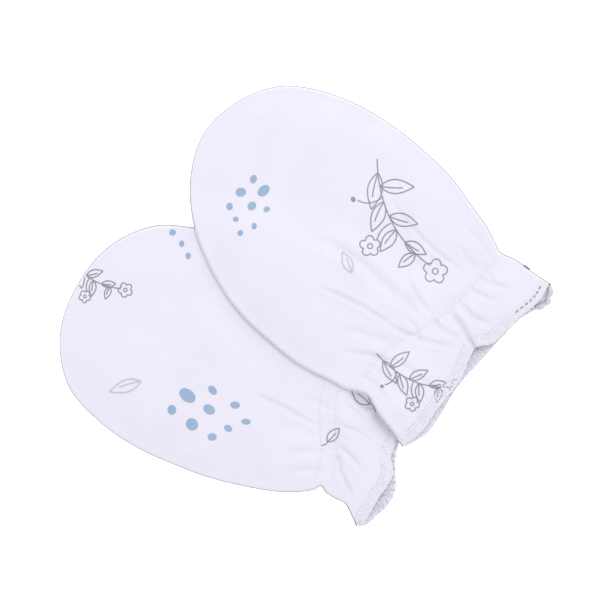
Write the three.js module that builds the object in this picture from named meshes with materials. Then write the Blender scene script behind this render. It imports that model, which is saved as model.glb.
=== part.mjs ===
// Pair of newborn mittens in printed cotton jersey, laid flat, the upper one resting on the lower one.
// Millimetres, +Z up. The pair lies on the plane z = 0 and its middle is over the origin.
// Each mitten is a front and a back panel, seamed round the hand, pulled in by an elastic at the wrist
// and left open at the hem of its ruffle.
// A place on a mitten is [along, across]: along from the elastic towards the fingertips, across to the
// right of that line seen from above.

import * as THREE from 'three';

// Cloth and seams
const WALL = 1.0;
const SEAM_GAP = 0.3;
const EDGE_RADIUS = 1.2;
const EDGE_HEIGHT = 2 * EDGE_RADIUS + SEAM_GAP;

// How full a mitten lies: the rise of its middle over its seamed edges, and how softly it rises
const CROWN = 2.3;
const CROWN_SOFTNESS = 5;
const CROWN_AT_ELASTIC = 0.15;
const CROWN_OF_RUFFLE = 0.95;
const HAND_RISE = 22;
const RUFFLE_RISE = 7;
const LOWEST_TOP = 2.5;

// The channel that the elastic pulls into the front
const ELASTIC_DEPTH = 0.5;
const ELASTIC_WIDTH = 1.8;

// Folds keep clear of the seamed edge, and have a raised lip on each side
const FOLD_CLEAR = 0.8;
const FOLD_FULL = 5;
const LIP = 0.35;
const LIP_AT = 1.9;
const FOLD_DEEP_FROM = 0.35;
const FOLD_DEEP_TO = 0.6;

// Where the upper mitten lies on the lower one
const PRESSED_CROWN = 0.5;
const PRESS_REACH = 12;
const REST_GAP = 0.3;
const DRAPE_REACH = 14;
const PRESSED_OUTSIDE = 0.5;

// How finely the panels are drawn, and how slantingly a column may leave the seam
const RUFFLE_STEPS = 7;
const HAND_STEPS = 14;
const TIP_STEPS = 18;
const EDGE_TURNS = [0, 30, 60, 90];
const FRONT_ROWS = 14;
const BACK_ROWS = 6;
const OUTLINE_STEPS = 300;
const HEM_STEPS = 30;
const FOLD_STEPS = 14;
const LEAST_SQUARE = 0.6;

// Colour of the cloth
const CLOTH_COLOUR = 0xf1effc;
const CLOTH_ROUGHNESS = 0.95;

const upperMitten = {
  wrist: [36.5, -3.8],
  pointsTo: 134,
  tipCentre: [46, -2.5],
  // Left seam from the hem up to the widest place, and right seam the same way
  leftSeam: [
    { along: -22.6, across: -31.7 },
    { along: -17.9, across: -30.7 },
    { along: -9.8, across: -29.8 },
    { along: -4.3, across: -28.5 },
    { along: -1.5, across: -29.7 },
    { along: 1.3, across: -31.7 },
    { along: 6.7, across: -33.4 },
    { along: 13.2, across: -35.8 },
    { along: 19.8, across: -37.4 },
    { along: 27.9, across: -38.3 },
    { along: 37, across: -38.9 },
  ],
  rightSeam: [
    { along: -18.9, across: 34.4 },
    { along: -13.8, across: 33.2 },
    { along: -9.8, across: 32.5 },
    { along: -6.2, across: 31.8 },
    { along: -1, across: 30.1 },
    { along: 1.7, across: 30.9 },
    { along: 7.3, across: 32.5 },
    { along: 14.9, across: 33.6 },
    { along: 23.9, across: 35 },
    { along: 32, across: 35 },
    { along: 39.1, across: 34.5 },
  ],
  // Fingertip seam: reach from the tip's centre, turning from the left side to the right side
  tipSeam: [
    { turn: 180, reach: 35.7 },
    { turn: 160, reach: 34.8 },
    { turn: 140, reach: 36 },
    { turn: 120, reach: 38.5 },
    { turn: 100, reach: 41 },
    { turn: 80, reach: 41 },
    { turn: 60, reach: 39.9 },
    { turn: 40, reach: 37 },
    { turn: 20, reach: 35.5 },
    { turn: 0, reach: 36.2 },
  ],
  // The elastic and the two hems, as places along the mitten, from the left seam to the right seam
  cuff: [
    { across: -32, elastic: -2, frontHem: -22.4, backHem: -22.6 },
    { across: -24, elastic: 0.5, frontHem: -22.8, backHem: -24.8 },
    { across: -17, elastic: 1.2, frontHem: -21.4, backHem: -23.8 },
    { across: -9, elastic: 0.5, frontHem: -20.4, backHem: -21.6 },
    { across: -4.5, elastic: -1, frontHem: -19.6, backHem: -20.9 },
    { across: 1.5, elastic: -2.5, frontHem: -17, backHem: -20.6 },
    { across: 5, elastic: -3, frontHem: -16.2, backHem: -20.4 },
    { across: 9, elastic: -3, frontHem: -18.6, backHem: -20 },
    { across: 15, elastic: -2.9, frontHem: -19, backHem: -19.7 },
    { across: 21, elastic: -2.6, frontHem: -18.9, backHem: -19.6 },
    { across: 26, elastic: -2, frontHem: -19.6, backHem: -20.9 },
    { across: 29.5, elastic: -1.4, frontHem: -20, backHem: -22.2 },
    { across: 35, elastic: -1, frontHem: -18.7, backHem: -19.1 },
  ],
  // Folds of the front: a curve from one place over another to a third, its depth and half width,
  // and whether it fades at both ends or runs out open at the hem
  folds: [
    { from: [40, -6], over: [24, -2], to: [3, -4], depth: 0.7, width: 3.6, end: 'fades' },
    { from: [29, -16], over: [12, -10], to: [-2, -6.5], depth: 1, width: 2.2, end: 'fades' },
    { from: [32, 17.5], over: [18, 16.5], to: [2, 17], depth: 0.8, width: 2.2, end: 'fades' },
    { from: [12, 4.5], over: [6, 2.7], to: [-2, 2.5], depth: 0.8, width: 2, end: 'fades' },
    { from: [8.5, -24], over: [3, -19], to: [-6, -14.7], depth: 1, width: 2, end: 'fades' },
    { from: [20, 9], over: [10, 9.5], to: [-1, 10], depth: 0.5, width: 2, end: 'fades' },
    { from: [14, -19], over: [8, -15], to: [0, -12], depth: 0.6, width: 2, end: 'fades' },
    { from: [11, 27], over: [5, 27.5], to: [-3, 26], depth: 0.7, width: 2, end: 'fades' },
    { from: [10, 22], over: [4, 21.5], to: [-2, 21], depth: 0.6, width: 2, end: 'fades' },
    { from: [-3, 20.5], over: [-8, 22.5], to: [-14, 26], depth: 1.4, width: 2.2, end: 'fades' },
    { from: [-2.8, 16], over: [-7, 17], to: [-14, 18.5], depth: 1.3, width: 2, end: 'fades' },
    { from: [-3, 11], over: [-10, 11], to: [-18, 13.5], depth: 1.5, width: 2, end: 'hem' },
    { from: [-3, 6.5], over: [-9, 6], to: [-17, 4], depth: 2, width: 2.2, end: 'hem' },
    { from: [-2, 1.5], over: [-6, 1.5], to: [-11, 2], depth: 1.2, width: 2, end: 'fades' },
    { from: [0, -7], over: [-8, -4], to: [-19, -2], depth: 1.7, width: 2.2, end: 'hem' },
    { from: [0, -15], over: [-9, -14], to: [-21, -12], depth: 1.5, width: 2.2, end: 'hem' },
    { from: [0, -22], over: [-8, -22], to: [-21, -21.5], depth: 1.4, width: 2.2, end: 'hem' },
  ],
};

const lowerMitten = {
  wrist: [15.5, -26.3],
  pointsTo: 164,
  tipCentre: [46, 0.5],
  leftSeam: [
    { along: -11.3, across: -38.3 },
    { along: -7.8, across: -34.2 },
    { along: -6.1, across: -32.6 },
    { along: -2.8, across: -32 },
    { along: 0.5, across: -31 },
    { along: 2.3, across: -29.5 },
    { along: 4.3, across: -31.3 },
    { along: 12.8, across: -34.4 },
    { along: 24.4, across: -36 },
    { along: 36.5, across: -36.4 },
  ],
  rightSeam: [
    { along: -18, across: 35 },
    { along: -11.8, across: 33.5 },
    { along: -5.8, across: 32.5 },
    { along: 0.3, across: 31.5 },
    { along: 3.3, across: 30.5 },
    { along: 5.4, across: 32.3 },
    { along: 12.7, across: 35.5 },
    { along: 24.9, across: 37.5 },
    { along: 36, across: 37.8 },
  ],
  tipSeam: [
    { turn: 180, reach: 36.1 },
    { turn: 160, reach: 36.5 },
    { turn: 140, reach: 39.3 },
    { turn: 120, reach: 43.8 },
    { turn: 100, reach: 45.2 },
    { turn: 80, reach: 44.3 },
    { turn: 60, reach: 43.3 },
    { turn: 40, reach: 40.8 },
    { turn: 20, reach: 36.6 },
    { turn: 0, reach: 37 },
  ],
  cuff: [
    { across: -38.3, elastic: 2, frontHem: -11.3, backHem: -11.4 },
    { across: -33, elastic: 2, frontHem: -13, backHem: -16.4 },
    { across: -28, elastic: 2.3, frontHem: -14.8, backHem: -19 },
    { across: -24, elastic: 2.4, frontHem: -16.2, backHem: -19.2 },
    { across: -20, elastic: 2.6, frontHem: -16.8, backHem: -18 },
    { across: -15, elastic: 4.5, frontHem: -15, backHem: -16.6 },
    { across: -10, elastic: 6, frontHem: -15.4, backHem: -16.4 },
    { across: -4, elastic: 7.5, frontHem: -15.8, backHem: -16.8 },
    { across: 4, elastic: 7.5, frontHem: -16.4, backHem: -17.5 },
    { across: 15, elastic: 6, frontHem: -17, backHem: -18 },
    { across: 25, elastic: 4, frontHem: -17.5, backHem: -18.6 },
    { across: 35, elastic: 3.5, frontHem: -17.8, backHem: -18.2 },
  ],
  folds: [
    { from: [22, -9.5], over: [14, -11], to: [4, -13.5], depth: 1.1, width: 2, end: 'fades' },
    { from: [18, 2], over: [11, 0], to: [5, -3.5], depth: 0.8, width: 2, end: 'fades' },
    { from: [16, -23], over: [9, -20.5], to: [2, -19], depth: 0.7, width: 2.4, end: 'fades' },
    { from: [13, -28], over: [8, -26], to: [2, -25], depth: 0.6, width: 2, end: 'fades' },
    { from: [15, -5], over: [11, -5.5], to: [7, -6], depth: 0.6, width: 2, end: 'fades' },
    { from: [5, -4.5], over: [-3, -5.5], to: [-14, -7.5], depth: 1.4, width: 2, end: 'hem' },
    { from: [4, -11], over: [-3, -11], to: [-15, -16], depth: 1.7, width: 2, end: 'hem' },
    { from: [2, -17], over: [-3, -19], to: [-9, -21.5], depth: 1.4, width: 2, end: 'fades' },
    { from: [1, -23.5], over: [-4, -26.5], to: [-8, -31], depth: 1.4, width: 2, end: 'fades' },
    { from: [0, -26], over: [-6, -28.5], to: [-14, -32], depth: 0.9, width: 2, end: 'hem' },
  ],
};

// A table's value between its rows, on a smooth curve through them
function readTable(rows, place, key, at) {
  let low = 0;
  while (low < rows.length - 2 && at > rows[low + 1][place]) low += 1;
  const slope = (index) => {
    const before = rows[Math.max(index - 1, 0)];
    const after = rows[Math.min(index + 1, rows.length - 1)];
    return (after[key] - before[key]) / (after[place] - before[place]);
  };
  const a = rows[low];
  const b = rows[low + 1];
  const span = b[place] - a[place];
  const t = THREE.MathUtils.clamp((at - a[place]) / span, 0, 1);
  const rise = t * t * (3 - 2 * t);
  const leave = t * (1 - t) * (1 - t) * span * slope(low);
  const arrive = t * t * (t - 1) * span * slope(low + 1);
  return a[key] + (b[key] - a[key]) * rise + leave + arrive;
}

// Seam line from the left hem round the fingertips to the right hem
function seamLine(mitten) {
  const points = mitten.leftSeam.map((row) => [row.along, row.across]);
  for (const { turn, reach } of mitten.tipSeam) {
    const angle = THREE.MathUtils.degToRad(turn);
    const along = mitten.tipCentre[0] + reach * Math.sin(angle);
    points.push([along, mitten.tipCentre[1] + reach * Math.cos(angle)]);
  }
  for (const row of [...mitten.rightSeam].reverse()) points.push([row.along, row.across]);
  const corners = points.map(([along, across]) => new THREE.Vector3(along, across, 0));
  const curve = new THREE.CatmullRomCurve3(corners);
  return curve.getSpacedPoints(OUTLINE_STEPS).map((point) => [point.x, point.y]);
}

// A fold's line, through its middle place
function foldLine({ from, over, to }) {
  const pull = [0, 1].map((i) => 2 * over[i] - (from[i] + to[i]) / 2);
  return Array.from({ length: FOLD_STEPS + 1 }, (_, step) => {
    const t = step / FOLD_STEPS;
    return [0, 1].map((i) => (1 - t) ** 2 * from[i] + 2 * t * (1 - t) * pull[i] + t ** 2 * to[i]);
  });
}

// Distance from a place to a line of points, and how far down the line the nearest place is, 0 to 1
function nearest(line, [x, y]) {
  let best = { distance: Infinity, share: 0 };
  for (let i = 0; i < line.length - 1; i += 1) {
    const [ax, ay] = line[i];
    const dx = line[i + 1][0] - ax;
    const dy = line[i + 1][1] - ay;
    const t = THREE.MathUtils.clamp(((x - ax) * dx + (y - ay) * dy) / (dx * dx + dy * dy), 0, 1);
    const distance = Math.hypot(x - ax - t * dx, y - ay - t * dy);
    if (distance < best.distance) best = { distance, share: (i + t) / (line.length - 1) };
  }
  return best;
}

function isInside(ring, [x, y]) {
  let inside = false;
  for (let i = 0, j = ring.length - 1; i < ring.length; j = i, i += 1) {
    const [ax, ay] = ring[i];
    const [bx, by] = ring[j];
    if (ay > y !== by > y && x < ((bx - ax) * (y - ay)) / (by - ay) + ax) inside = !inside;
  }
  return inside;
}

// How far a place lies inside a closed ring, below zero outside it
function depthInside(ring, place) {
  const { distance } = nearest([...ring, ring[0]], place);
  return isInside(ring, place) ? distance : -distance;
}

// From a place on a mitten to the frame of the pair
function toPair(mitten, [along, across]) {
  const angle = THREE.MathUtils.degToRad(mitten.pointsTo);
  const [forwardX, forwardY] = [Math.cos(angle), Math.sin(angle)];
  const x = mitten.wrist[0] + along * forwardX + across * forwardY;
  return [x, mitten.wrist[1] + along * forwardY - across * forwardX];
}

// Closed outline of a mitten on the table, with its longer hem
function outlineOnTable(mitten) {
  const seam = seamLine(mitten);
  const right = seam[seam.length - 1][1];
  const left = seam[0][1];
  const hem = Array.from({ length: HEM_STEPS - 1 }, (_, step) => {
    const across = THREE.MathUtils.lerp(right, left, (step + 1) / HEM_STEPS);
    return [readTable(mitten.cuff, 'across', 'backHem', across), across];
  });
  return [...seam, ...hem].map((place) => toPair(mitten, place));
}

// Rise from nothing at the seamed edge to one in the middle
function softRise(distance) {
  const t = Math.max(distance, 0) / CROWN_SOFTNESS;
  return 1 - (1 + t) * Math.exp(-t);
}

const { smoothstep, lerp } = THREE.MathUtils;

const lowerOutline = outlineOnTable(lowerMitten);
const upperOutline = outlineOnTable(upperMitten);

// How much the upper mitten's weight flattens the lower one at a place, 0 to 1
function pressing(mitten, place) {
  if (mitten === upperMitten) return 0;
  return smoothstep(depthInside(upperOutline, place), -PRESS_REACH, -PRESSED_OUTSIDE);
}

// Rise of the lower mitten over its edges where it is pressed flat
function pressedRise(place) {
  return PRESSED_CROWN * softRise(depthInside(lowerOutline, place) - EDGE_RADIUS);
}

// Height of a mitten's underside: the lower one lies on the table, the upper one drapes over it
function underside(mitten, place) {
  if (mitten === lowerMitten) return 0;
  const inside = depthInside(lowerOutline, place) - EDGE_RADIUS;
  const drop = smoothstep(inside, -DRAPE_REACH, 0);
  return (EDGE_HEIGHT + REST_GAP) * drop + pressedRise(place);
}

// Depth of all folds of the front at a place on the mitten
function foldDepth(mitten, place) {
  let depth = 0;
  for (const fold of mitten.folds) {
    fold.line ??= foldLine(fold);
    const { distance, share } = nearest(fold.line, place);
    const offset = distance / fold.width;
    const section = Math.exp(-offset * offset) - LIP * Math.exp(-((offset - LIP_AT) ** 2));
    const start = smoothstep(share, 0, FOLD_DEEP_FROM);
    const finish = fold.end === 'hem' ? 1 : 1 - smoothstep(share, FOLD_DEEP_TO, 1);
    depth += fold.depth * section * start * finish;
  }
  return depth;
}

// Thickness of the whole mitten at a place, from its underside to the top of its front
function thickness(mitten, place, seam) {
  const [along, across] = place;
  const edge = nearest(seam, place).distance;
  const pastElastic = along - readTable(mitten.cuff, 'across', 'elastic', across);
  const full = pastElastic > 0
    ? lerp(CROWN_AT_ELASTIC, 1, smoothstep(pastElastic, 0, HAND_RISE))
    : lerp(CROWN_AT_ELASTIC, CROWN_OF_RUFFLE, smoothstep(-pastElastic, 0, RUFFLE_RISE));
  const onTable = toPair(mitten, place);
  const pressed = pressing(mitten, onTable);
  const loose = CROWN * full * softRise(edge - EDGE_RADIUS);
  const crown = pressed > 0 ? lerp(loose, pressedRise(onTable), pressed) : loose;
  const channel = ELASTIC_DEPTH * Math.exp(-((pastElastic / ELASTIC_WIDTH) ** 2));
  const clear = smoothstep(edge, FOLD_CLEAR, FOLD_FULL) * (1 - pressed);
  const height = EDGE_HEIGHT + crown - clear * (channel + foldDepth(mitten, place));
  return Math.max(height, Math.min(LOWEST_TOP, EDGE_HEIGHT));
}

// Station lines cross the mitten: -1 is the hem, 0 the elastic and 1 the widest place
function stationAlong(mitten, hem, station, across) {
  const elastic = readTable(mitten.cuff, 'across', 'elastic', across);
  if (station > 0) return lerp(elastic, mitten.tipCentre[0], station);
  return lerp(elastic, readTable(mitten.cuff, 'across', hem, across), -station);
}

// Where a station line meets the seam, on the left side (-1) or the right side (1)
function seamAtStation(mitten, hem, seam, station, side) {
  const isHere = ([along, across]) => along <= mitten.tipCentre[0] && across > 0 === side > 0;
  const half = seam.filter(isHere);
  const ordered = side > 0 ? half : [...half].reverse();
  const miss = ([along, across]) => along - stationAlong(mitten, hem, station, across);
  for (let i = 0; i < ordered.length - 1; i += 1) {
    const here = miss(ordered[i]);
    const next = miss(ordered[i + 1]);
    if (here >= 0 && next < 0) return lerp(ordered[i][1], ordered[i + 1][1], here / (here - next));
  }
  return station > 0 ? ordered[0][1] : ordered[ordered.length - 1][1];
}

// Columns of a panel from the left hem round the tip to the right hem. Each has its seam point, the
// point of the middle line that it runs to, and how squarely it leaves the seam.
function panelColumns(mitten, hem, seam) {
  const stations = [];
  for (let i = 0; i < RUFFLE_STEPS; i += 1) stations.push(-1 + i / RUFFLE_STEPS);
  for (let i = 0; i <= HAND_STEPS; i += 1) stations.push(i / HAND_STEPS);
  const middle = mitten.tipCentre[1];
  const column = (edge, inner, spine, station) => {
    const { share } = nearest(seam, edge);
    const at = THREE.MathUtils.clamp(Math.round(share * (seam.length - 1)), 2, seam.length - 3);
    const run = [seam[at + 2][0] - seam[at - 2][0], seam[at + 2][1] - seam[at - 2][1]];
    const outward = new THREE.Vector2(run[1], -run[0]).normalize();
    const way = new THREE.Vector2(inner[0] - edge[0], inner[1] - edge[1]).normalize();
    const square = Math.max(Math.abs(outward.dot(way)), LEAST_SQUARE);
    return { edge, inner, spine, station, outward, square };
  };
  const sideColumns = (side) => stations.map((station, spine) => {
    const across = seamAtStation(mitten, hem, seam, station, side);
    const edge = [stationAlong(mitten, hem, station, across), across];
    return column(edge, [stationAlong(mitten, hem, station, middle), middle], spine, station);
  });
  const bearing = ([along, across]) => Math.atan2(along - mitten.tipCentre[0], across - middle);
  const tipSeam = seam.filter(([along]) => along > mitten.tipCentre[0]);
  const tip = Array.from({ length: TIP_STEPS - 1 }, (_, step) => {
    const angle = Math.PI * (1 - (step + 1) / TIP_STEPS);
    const after = tipSeam.findIndex((place) => bearing(place) < angle);
    const [a, b] = [tipSeam[after - 1], tipSeam[after]];
    const t = (bearing(a) - angle) / (bearing(a) - bearing(b));
    const edge = [lerp(a[0], b[0], t), lerp(a[1], b[1], t)];
    return column(edge, mitten.tipCentre, stations.length - 1, null);
  });
  return { stations, columns: [...sideColumns(-1), ...tip, ...sideColumns(1).reverse()] };
}

// One panel as a closed wall. Its outer face turns round the seamed edge, and its inner face lies one
// wall further in.
function panelGeometry(mitten, { hem, rowCount, isFront }) {
  const seam = seamLine(mitten);
  const { stations, columns } = panelColumns(mitten, hem, seam);
  const rows = EDGE_TURNS.length + rowCount;
  const rimHeight = isFront ? EDGE_RADIUS + SEAM_GAP : EDGE_RADIUS;
  const facing = isFront ? 1 : -1;
  const places = [];
  const outer = [];
  const normals = [];

  const placeOnColumn = ({ edge, inner, station }, share) => {
    const across = lerp(edge[1], inner[1], share);
    if (station === null) return [lerp(edge[0], inner[0], share), across];
    return [stationAlong(mitten, hem, station, across), across];
  };
  const addVertex = (place, heightOver, normal) => {
    const [x, y] = toPair(mitten, place);
    outer.push(new THREE.Vector3(x, y, underside(mitten, [x, y]) + heightOver));
    places.push(place);
    normals.push(normal);
  };
  const faceHeight = (place) => (isFront ? thickness(mitten, place, seam) : 0);

  for (const column of columns) {
    const length = Math.hypot(column.inner[0] - column.edge[0], column.inner[1] - column.edge[1]);
    const edgeShare = EDGE_RADIUS / column.square / length;
    const [outX, outY] = toPair(mitten, column.outward.toArray());
    const [zeroX, zeroY] = toPair(mitten, [0, 0]);
    for (const turn of EDGE_TURNS) {
      const angle = THREE.MathUtils.degToRad(turn);
      const place = placeOnColumn(column, edgeShare * (1 - Math.cos(angle)));
      const level = new THREE.Vector3(outX - zeroX, outY - zeroY, 0).multiplyScalar(Math.cos(angle));
      const normal = level.setZ(facing * Math.sin(angle));
      addVertex(place, rimHeight + facing * EDGE_RADIUS * Math.sin(angle), turn < 90 ? normal : null);
    }
    for (let row = 1; row <= rowCount; row += 1) {
      const place = placeOnColumn(column, lerp(edgeShare, 1, row / (rowCount + 1)));
      addVertex(place, faceHeight(place), null);
    }
  }
  for (const station of stations) {
    const place = [stationAlong(mitten, hem, station, mitten.tipCentre[1]), mitten.tipCentre[1]];
    addVertex(place, faceHeight(place), null);
  }

  // Faces of one side of the wall, as vertex numbers
  const spineStart = columns.length * rows;
  const at = (column, row) => (row < rows ? column * rows + row : spineStart + columns[column].spine);
  const faces = [];
  for (let column = 0; column < columns.length - 1; column += 1) {
    for (let row = 0; row < rows; row += 1) {
      const [a, b] = [at(column, row), at(column + 1, row)];
      const [c, d] = [at(column + 1, row + 1), at(column, row + 1)];
      faces.push([a, b, c]);
      if (c !== d) faces.push([a, c, d]);
    }
  }

  // Normals of the outer face, where the edge's turn doesn't give them
  const summed = outer.map(() => new THREE.Vector3());
  for (const [a, b, c] of faces) {
    const ab = new THREE.Vector3().subVectors(outer[b], outer[a]);
    const ac = new THREE.Vector3().subVectors(outer[c], outer[a]);
    const normal = ab.cross(ac);
    for (const vertex of [a, b, c]) summed[vertex].add(normal);
  }
  const inner = outer.map((point, vertex) => {
    const sum = summed[vertex].normalize();
    const normal = normals[vertex] ?? sum.multiplyScalar(Math.sign(sum.z) * facing);
    return point.clone().addScaledVector(normal, -WALL);
  });

  // Both faces and the rim that joins them round the seam and the hem
  const rim = [];
  for (let row = rows; row > 0; row -= 1) rim.push(at(0, row));
  for (let column = 0; column < columns.length; column += 1) rim.push(at(column, 0));
  for (let row = 1; row < rows; row += 1) rim.push(at(columns.length - 1, row));
  const offset = outer.length;
  const triangles = [];
  for (const [a, b, c] of faces) triangles.push([a, b, c], [offset + c, offset + b, offset + a]);
  rim.forEach((vertex, i) => {
    const next = rim[(i + 1) % rim.length];
    triangles.push([next, vertex, offset + vertex], [next, offset + vertex, offset + next]);
  });
  const geometry = new THREE.BufferGeometry().setFromPoints([...outer, ...inner]);
  // A front faces up and a back faces down, so their triangles turn opposite ways
  const turned = triangles.map(([a, b, c]) => (isFront ? [c, b, a] : [a, b, c]));
  geometry.setIndex(turned.flat());
  geometry.computeVertexNormals();
  return geometry;
}

function clothMaterial() {
  return new THREE.MeshStandardMaterial({ color: CLOTH_COLOUR, roughness: CLOTH_ROUGHNESS, metalness: 0 });
}

function panel(name, mitten, isFront) {
  const hem = isFront ? 'frontHem' : 'backHem';
  const rowCount = isFront ? FRONT_ROWS : BACK_ROWS;
  const mesh = new THREE.Mesh(panelGeometry(mitten, { hem, rowCount, isFront }), clothMaterial());
  mesh.name = name;
  return mesh;
}

const pair = new THREE.Group();
pair.add(panel('lower_back_panel', lowerMitten, false));
pair.add(panel('lower_front_panel', lowerMitten, true));
pair.add(panel('upper_back_panel', upperMitten, false));
pair.add(panel('upper_front_panel', upperMitten, true));

const box = new THREE.Box3().setFromObject(pair);
const middle = box.getCenter(new THREE.Vector3());
pair.position.set(-middle.x, -middle.y, -box.min.z);

export default pair;
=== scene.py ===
# %% [markdown]
# # A pair of newborn mittens in printed cotton jersey
# Two mittens lie flat on a pale table, the upper one resting on the cuff of the lower one. Each is a
# front and a back cut from the same thin knit, seamed round the hand, drawn in by an elastic at the
# wrist and finished with an overlocked ruffle. The solids already give their outlines and main folds.
# Here each panel becomes a thin cloth shell on the same form, with its creases, gathers, stitches and
# print, because those are what make a flat piece of cloth look sewn and handled.

import bpy
import numpy as np
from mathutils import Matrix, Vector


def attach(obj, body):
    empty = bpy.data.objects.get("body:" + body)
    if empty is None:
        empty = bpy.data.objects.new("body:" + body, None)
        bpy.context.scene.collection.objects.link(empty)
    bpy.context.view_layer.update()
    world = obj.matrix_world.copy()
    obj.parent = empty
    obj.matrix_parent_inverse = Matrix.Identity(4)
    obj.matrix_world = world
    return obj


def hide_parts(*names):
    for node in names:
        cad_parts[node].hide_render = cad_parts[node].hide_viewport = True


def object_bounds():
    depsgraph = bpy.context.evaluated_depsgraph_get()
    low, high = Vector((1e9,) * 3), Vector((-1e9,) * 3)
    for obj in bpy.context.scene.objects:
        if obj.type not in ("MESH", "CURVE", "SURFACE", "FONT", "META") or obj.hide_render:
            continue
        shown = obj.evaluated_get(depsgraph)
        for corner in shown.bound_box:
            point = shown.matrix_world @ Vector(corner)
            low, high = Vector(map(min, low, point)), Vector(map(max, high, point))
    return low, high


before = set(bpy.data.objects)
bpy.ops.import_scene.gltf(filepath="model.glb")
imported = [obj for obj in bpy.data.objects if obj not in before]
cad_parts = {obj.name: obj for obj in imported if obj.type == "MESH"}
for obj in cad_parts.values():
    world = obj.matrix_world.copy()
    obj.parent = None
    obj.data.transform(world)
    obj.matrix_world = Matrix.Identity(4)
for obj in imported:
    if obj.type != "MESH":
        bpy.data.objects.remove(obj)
solids_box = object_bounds()
MM = 0.001
print("solids:", sorted(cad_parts))
print("box in mm:", [[round(value / MM, 1) for value in corner] for corner in solids_box])

# %% [markdown]
# ## Camera
# A flat lay is photographed from straight above, with a long lens so that nothing leans outwards. The
# photograph is 183 mm wide at the cloth, which fixes the camera's height once the lens is chosen.

# %% Camera straight above the pair
PHOTO_WIDTH = 183.0
LENS = 85.0
SENSOR = 36.0
CLOTH_LEVEL = 3.0
# The photograph's middle, from the middle of the pair
PHOTO_MIDDLE = (-0.17, 0.3)
camera_height = PHOTO_WIDTH * LENS / SENSOR + CLOTH_LEVEL
camera_data = bpy.data.cameras.new("overhead_camera")
camera_data.lens = LENS
camera_data.sensor_width = SENSOR
camera = bpy.data.objects.new("overhead_camera", camera_data)
camera.location = [value * MM for value in (*PHOTO_MIDDLE, camera_height)]
bpy.context.scene.collection.objects.link(camera)
bpy.context.scene.camera = camera
print("camera is", round(camera.location.z, 3), "m above the table")

# %% [markdown]
# ## The cut of each mitten
# A pattern maker measures a mitten from its wrist: how far along towards the fingertips, and how far
# across. The same tables serve here. The seam is given at a few places on each side, the fingertips as
# a reach that turns round a centre, and the cuff by where its elastic and its two hems run. Smooth
# curves go through these places, so a handful of rows gives the whole outline.

# %% Cut of the upper mitten
ALONG, ACROSS = 0, 1
ELASTIC, FRONT_HEM, BACK_HEM = 1, 2, 3

upper = {
    "name": "upper",
    "wrist": np.array([36.5, -3.8]),
    "points_to": 134,
    "tip_centre": np.array([46, -2.5]),
    # along, across
    "left_seam": [
        (-22.6, -31.7), (-17.9, -30.7), (-9.8, -29.8), (-4.3, -28.5), (-1.5, -29.7), (1.3, -31.7),
        (6.7, -33.4), (13.2, -35.8), (19.8, -37.4), (27.9, -38.3), (37, -38.9),
    ],
    "right_seam": [
        (-18.9, 34.4), (-13.8, 33.2), (-9.8, 32.5), (-6.2, 31.8), (-1, 30.1), (1.7, 30.9),
        (7.3, 32.5), (14.9, 33.6), (23.9, 35), (32, 35), (39.1, 34.5),
    ],
    # turn from the left side to the right side, reach
    "tip_seam": [
        (180, 35.7), (160, 34.8), (140, 36), (120, 38.5), (100, 41), (80, 41), (60, 39.9),
        (40, 37), (20, 35.5), (0, 36.2),
    ],
    # across, then the elastic, the front hem and the back hem along the mitten
    "cuff": np.array([
        (-32, -2, -22.4, -22.6), (-24, 0.5, -22.8, -24.8), (-17, 1.2, -21.4, -23.8),
        (-9, 0.5, -20.4, -21.6), (-4.5, -1, -19.6, -20.9), (1.5, -2.5, -17, -20.6),
        (5, -3, -16.2, -20.4), (9, -3, -18.6, -20), (15, -2.9, -19, -19.7),
        (21, -2.6, -18.9, -19.6), (26, -2, -19.4, -20.9), (29.5, -1.4, -19.2, -22.2),
        (35, -1, -17.4, -19.1),
    ]),
}

# %% Cut of the lower mitten
lower = {
    "name": "lower",
    "wrist": np.array([15.5, -26.3]),
    "points_to": 164,
    "tip_centre": np.array([46, 0.5]),
    "left_seam": [
        (-11.3, -38.3), (-7.8, -34.2), (-6.1, -32.6), (-2.8, -32), (0.5, -31), (2.3, -29.5),
        (4.3, -31.3), (12.8, -34.4), (24.4, -36), (36.5, -36.4),
    ],
    "right_seam": [
        (-18, 35), (-11.8, 33.5), (-5.8, 32.5), (0.3, 31.5), (3.3, 30.5), (5.4, 32.3),
        (12.7, 35.5), (24.9, 37.5), (36, 37.8),
    ],
    "tip_seam": [
        (180, 36.1), (160, 36.5), (140, 39.3), (120, 43.8), (100, 45.2), (80, 44.3), (60, 43.3),
        (40, 40.8), (20, 36.6), (0, 37),
    ],
    "cuff": np.array([
        (-38.3, 2, -11.3, -11.4), (-37.2, 2, -12.6, -13.6), (-33, 2, -13.6, -16.4),
        (-28, 2.3, -14.8, -19),
        (-24, 2.4, -16.2, -19.2), (-20, 2.6, -16.8, -18), (-15, 4.5, -15, -16.6),
        (-10, 6, -15.4, -16.4), (-4, 7.5, -15.8, -16.8), (4, 7.5, -16.4, -17.5),
        (15, 6, -17, -18), (25, 4, -17.5, -18.6), (35, 3.5, -17.8, -18.2),
    ]),
}

# %% Smooth curves through a table's rows and through the seam's places
def read_table(rows, column, at):
    places, values = rows[:, 0], rows[:, column]
    slope = np.gradient(values)
    slope[1:-1] = (values[2:] - values[:-2]) / (places[2:] - places[:-2])
    slope[[0, -1]] = (np.diff(values) / np.diff(places))[[0, -1]]
    low = np.clip(np.searchsorted(places, at) - 1, 0, len(rows) - 2)
    span = places[low + 1] - places[low]
    t = np.clip((at - places[low]) / span, 0, 1)
    rise = (values[low + 1] - values[low]) * t * t * (3 - 2 * t)
    bend = t * (1 - t) ** 2 * slope[low] + t * t * (t - 1) * slope[low + 1]
    return values[low] + rise + span * bend


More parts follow.
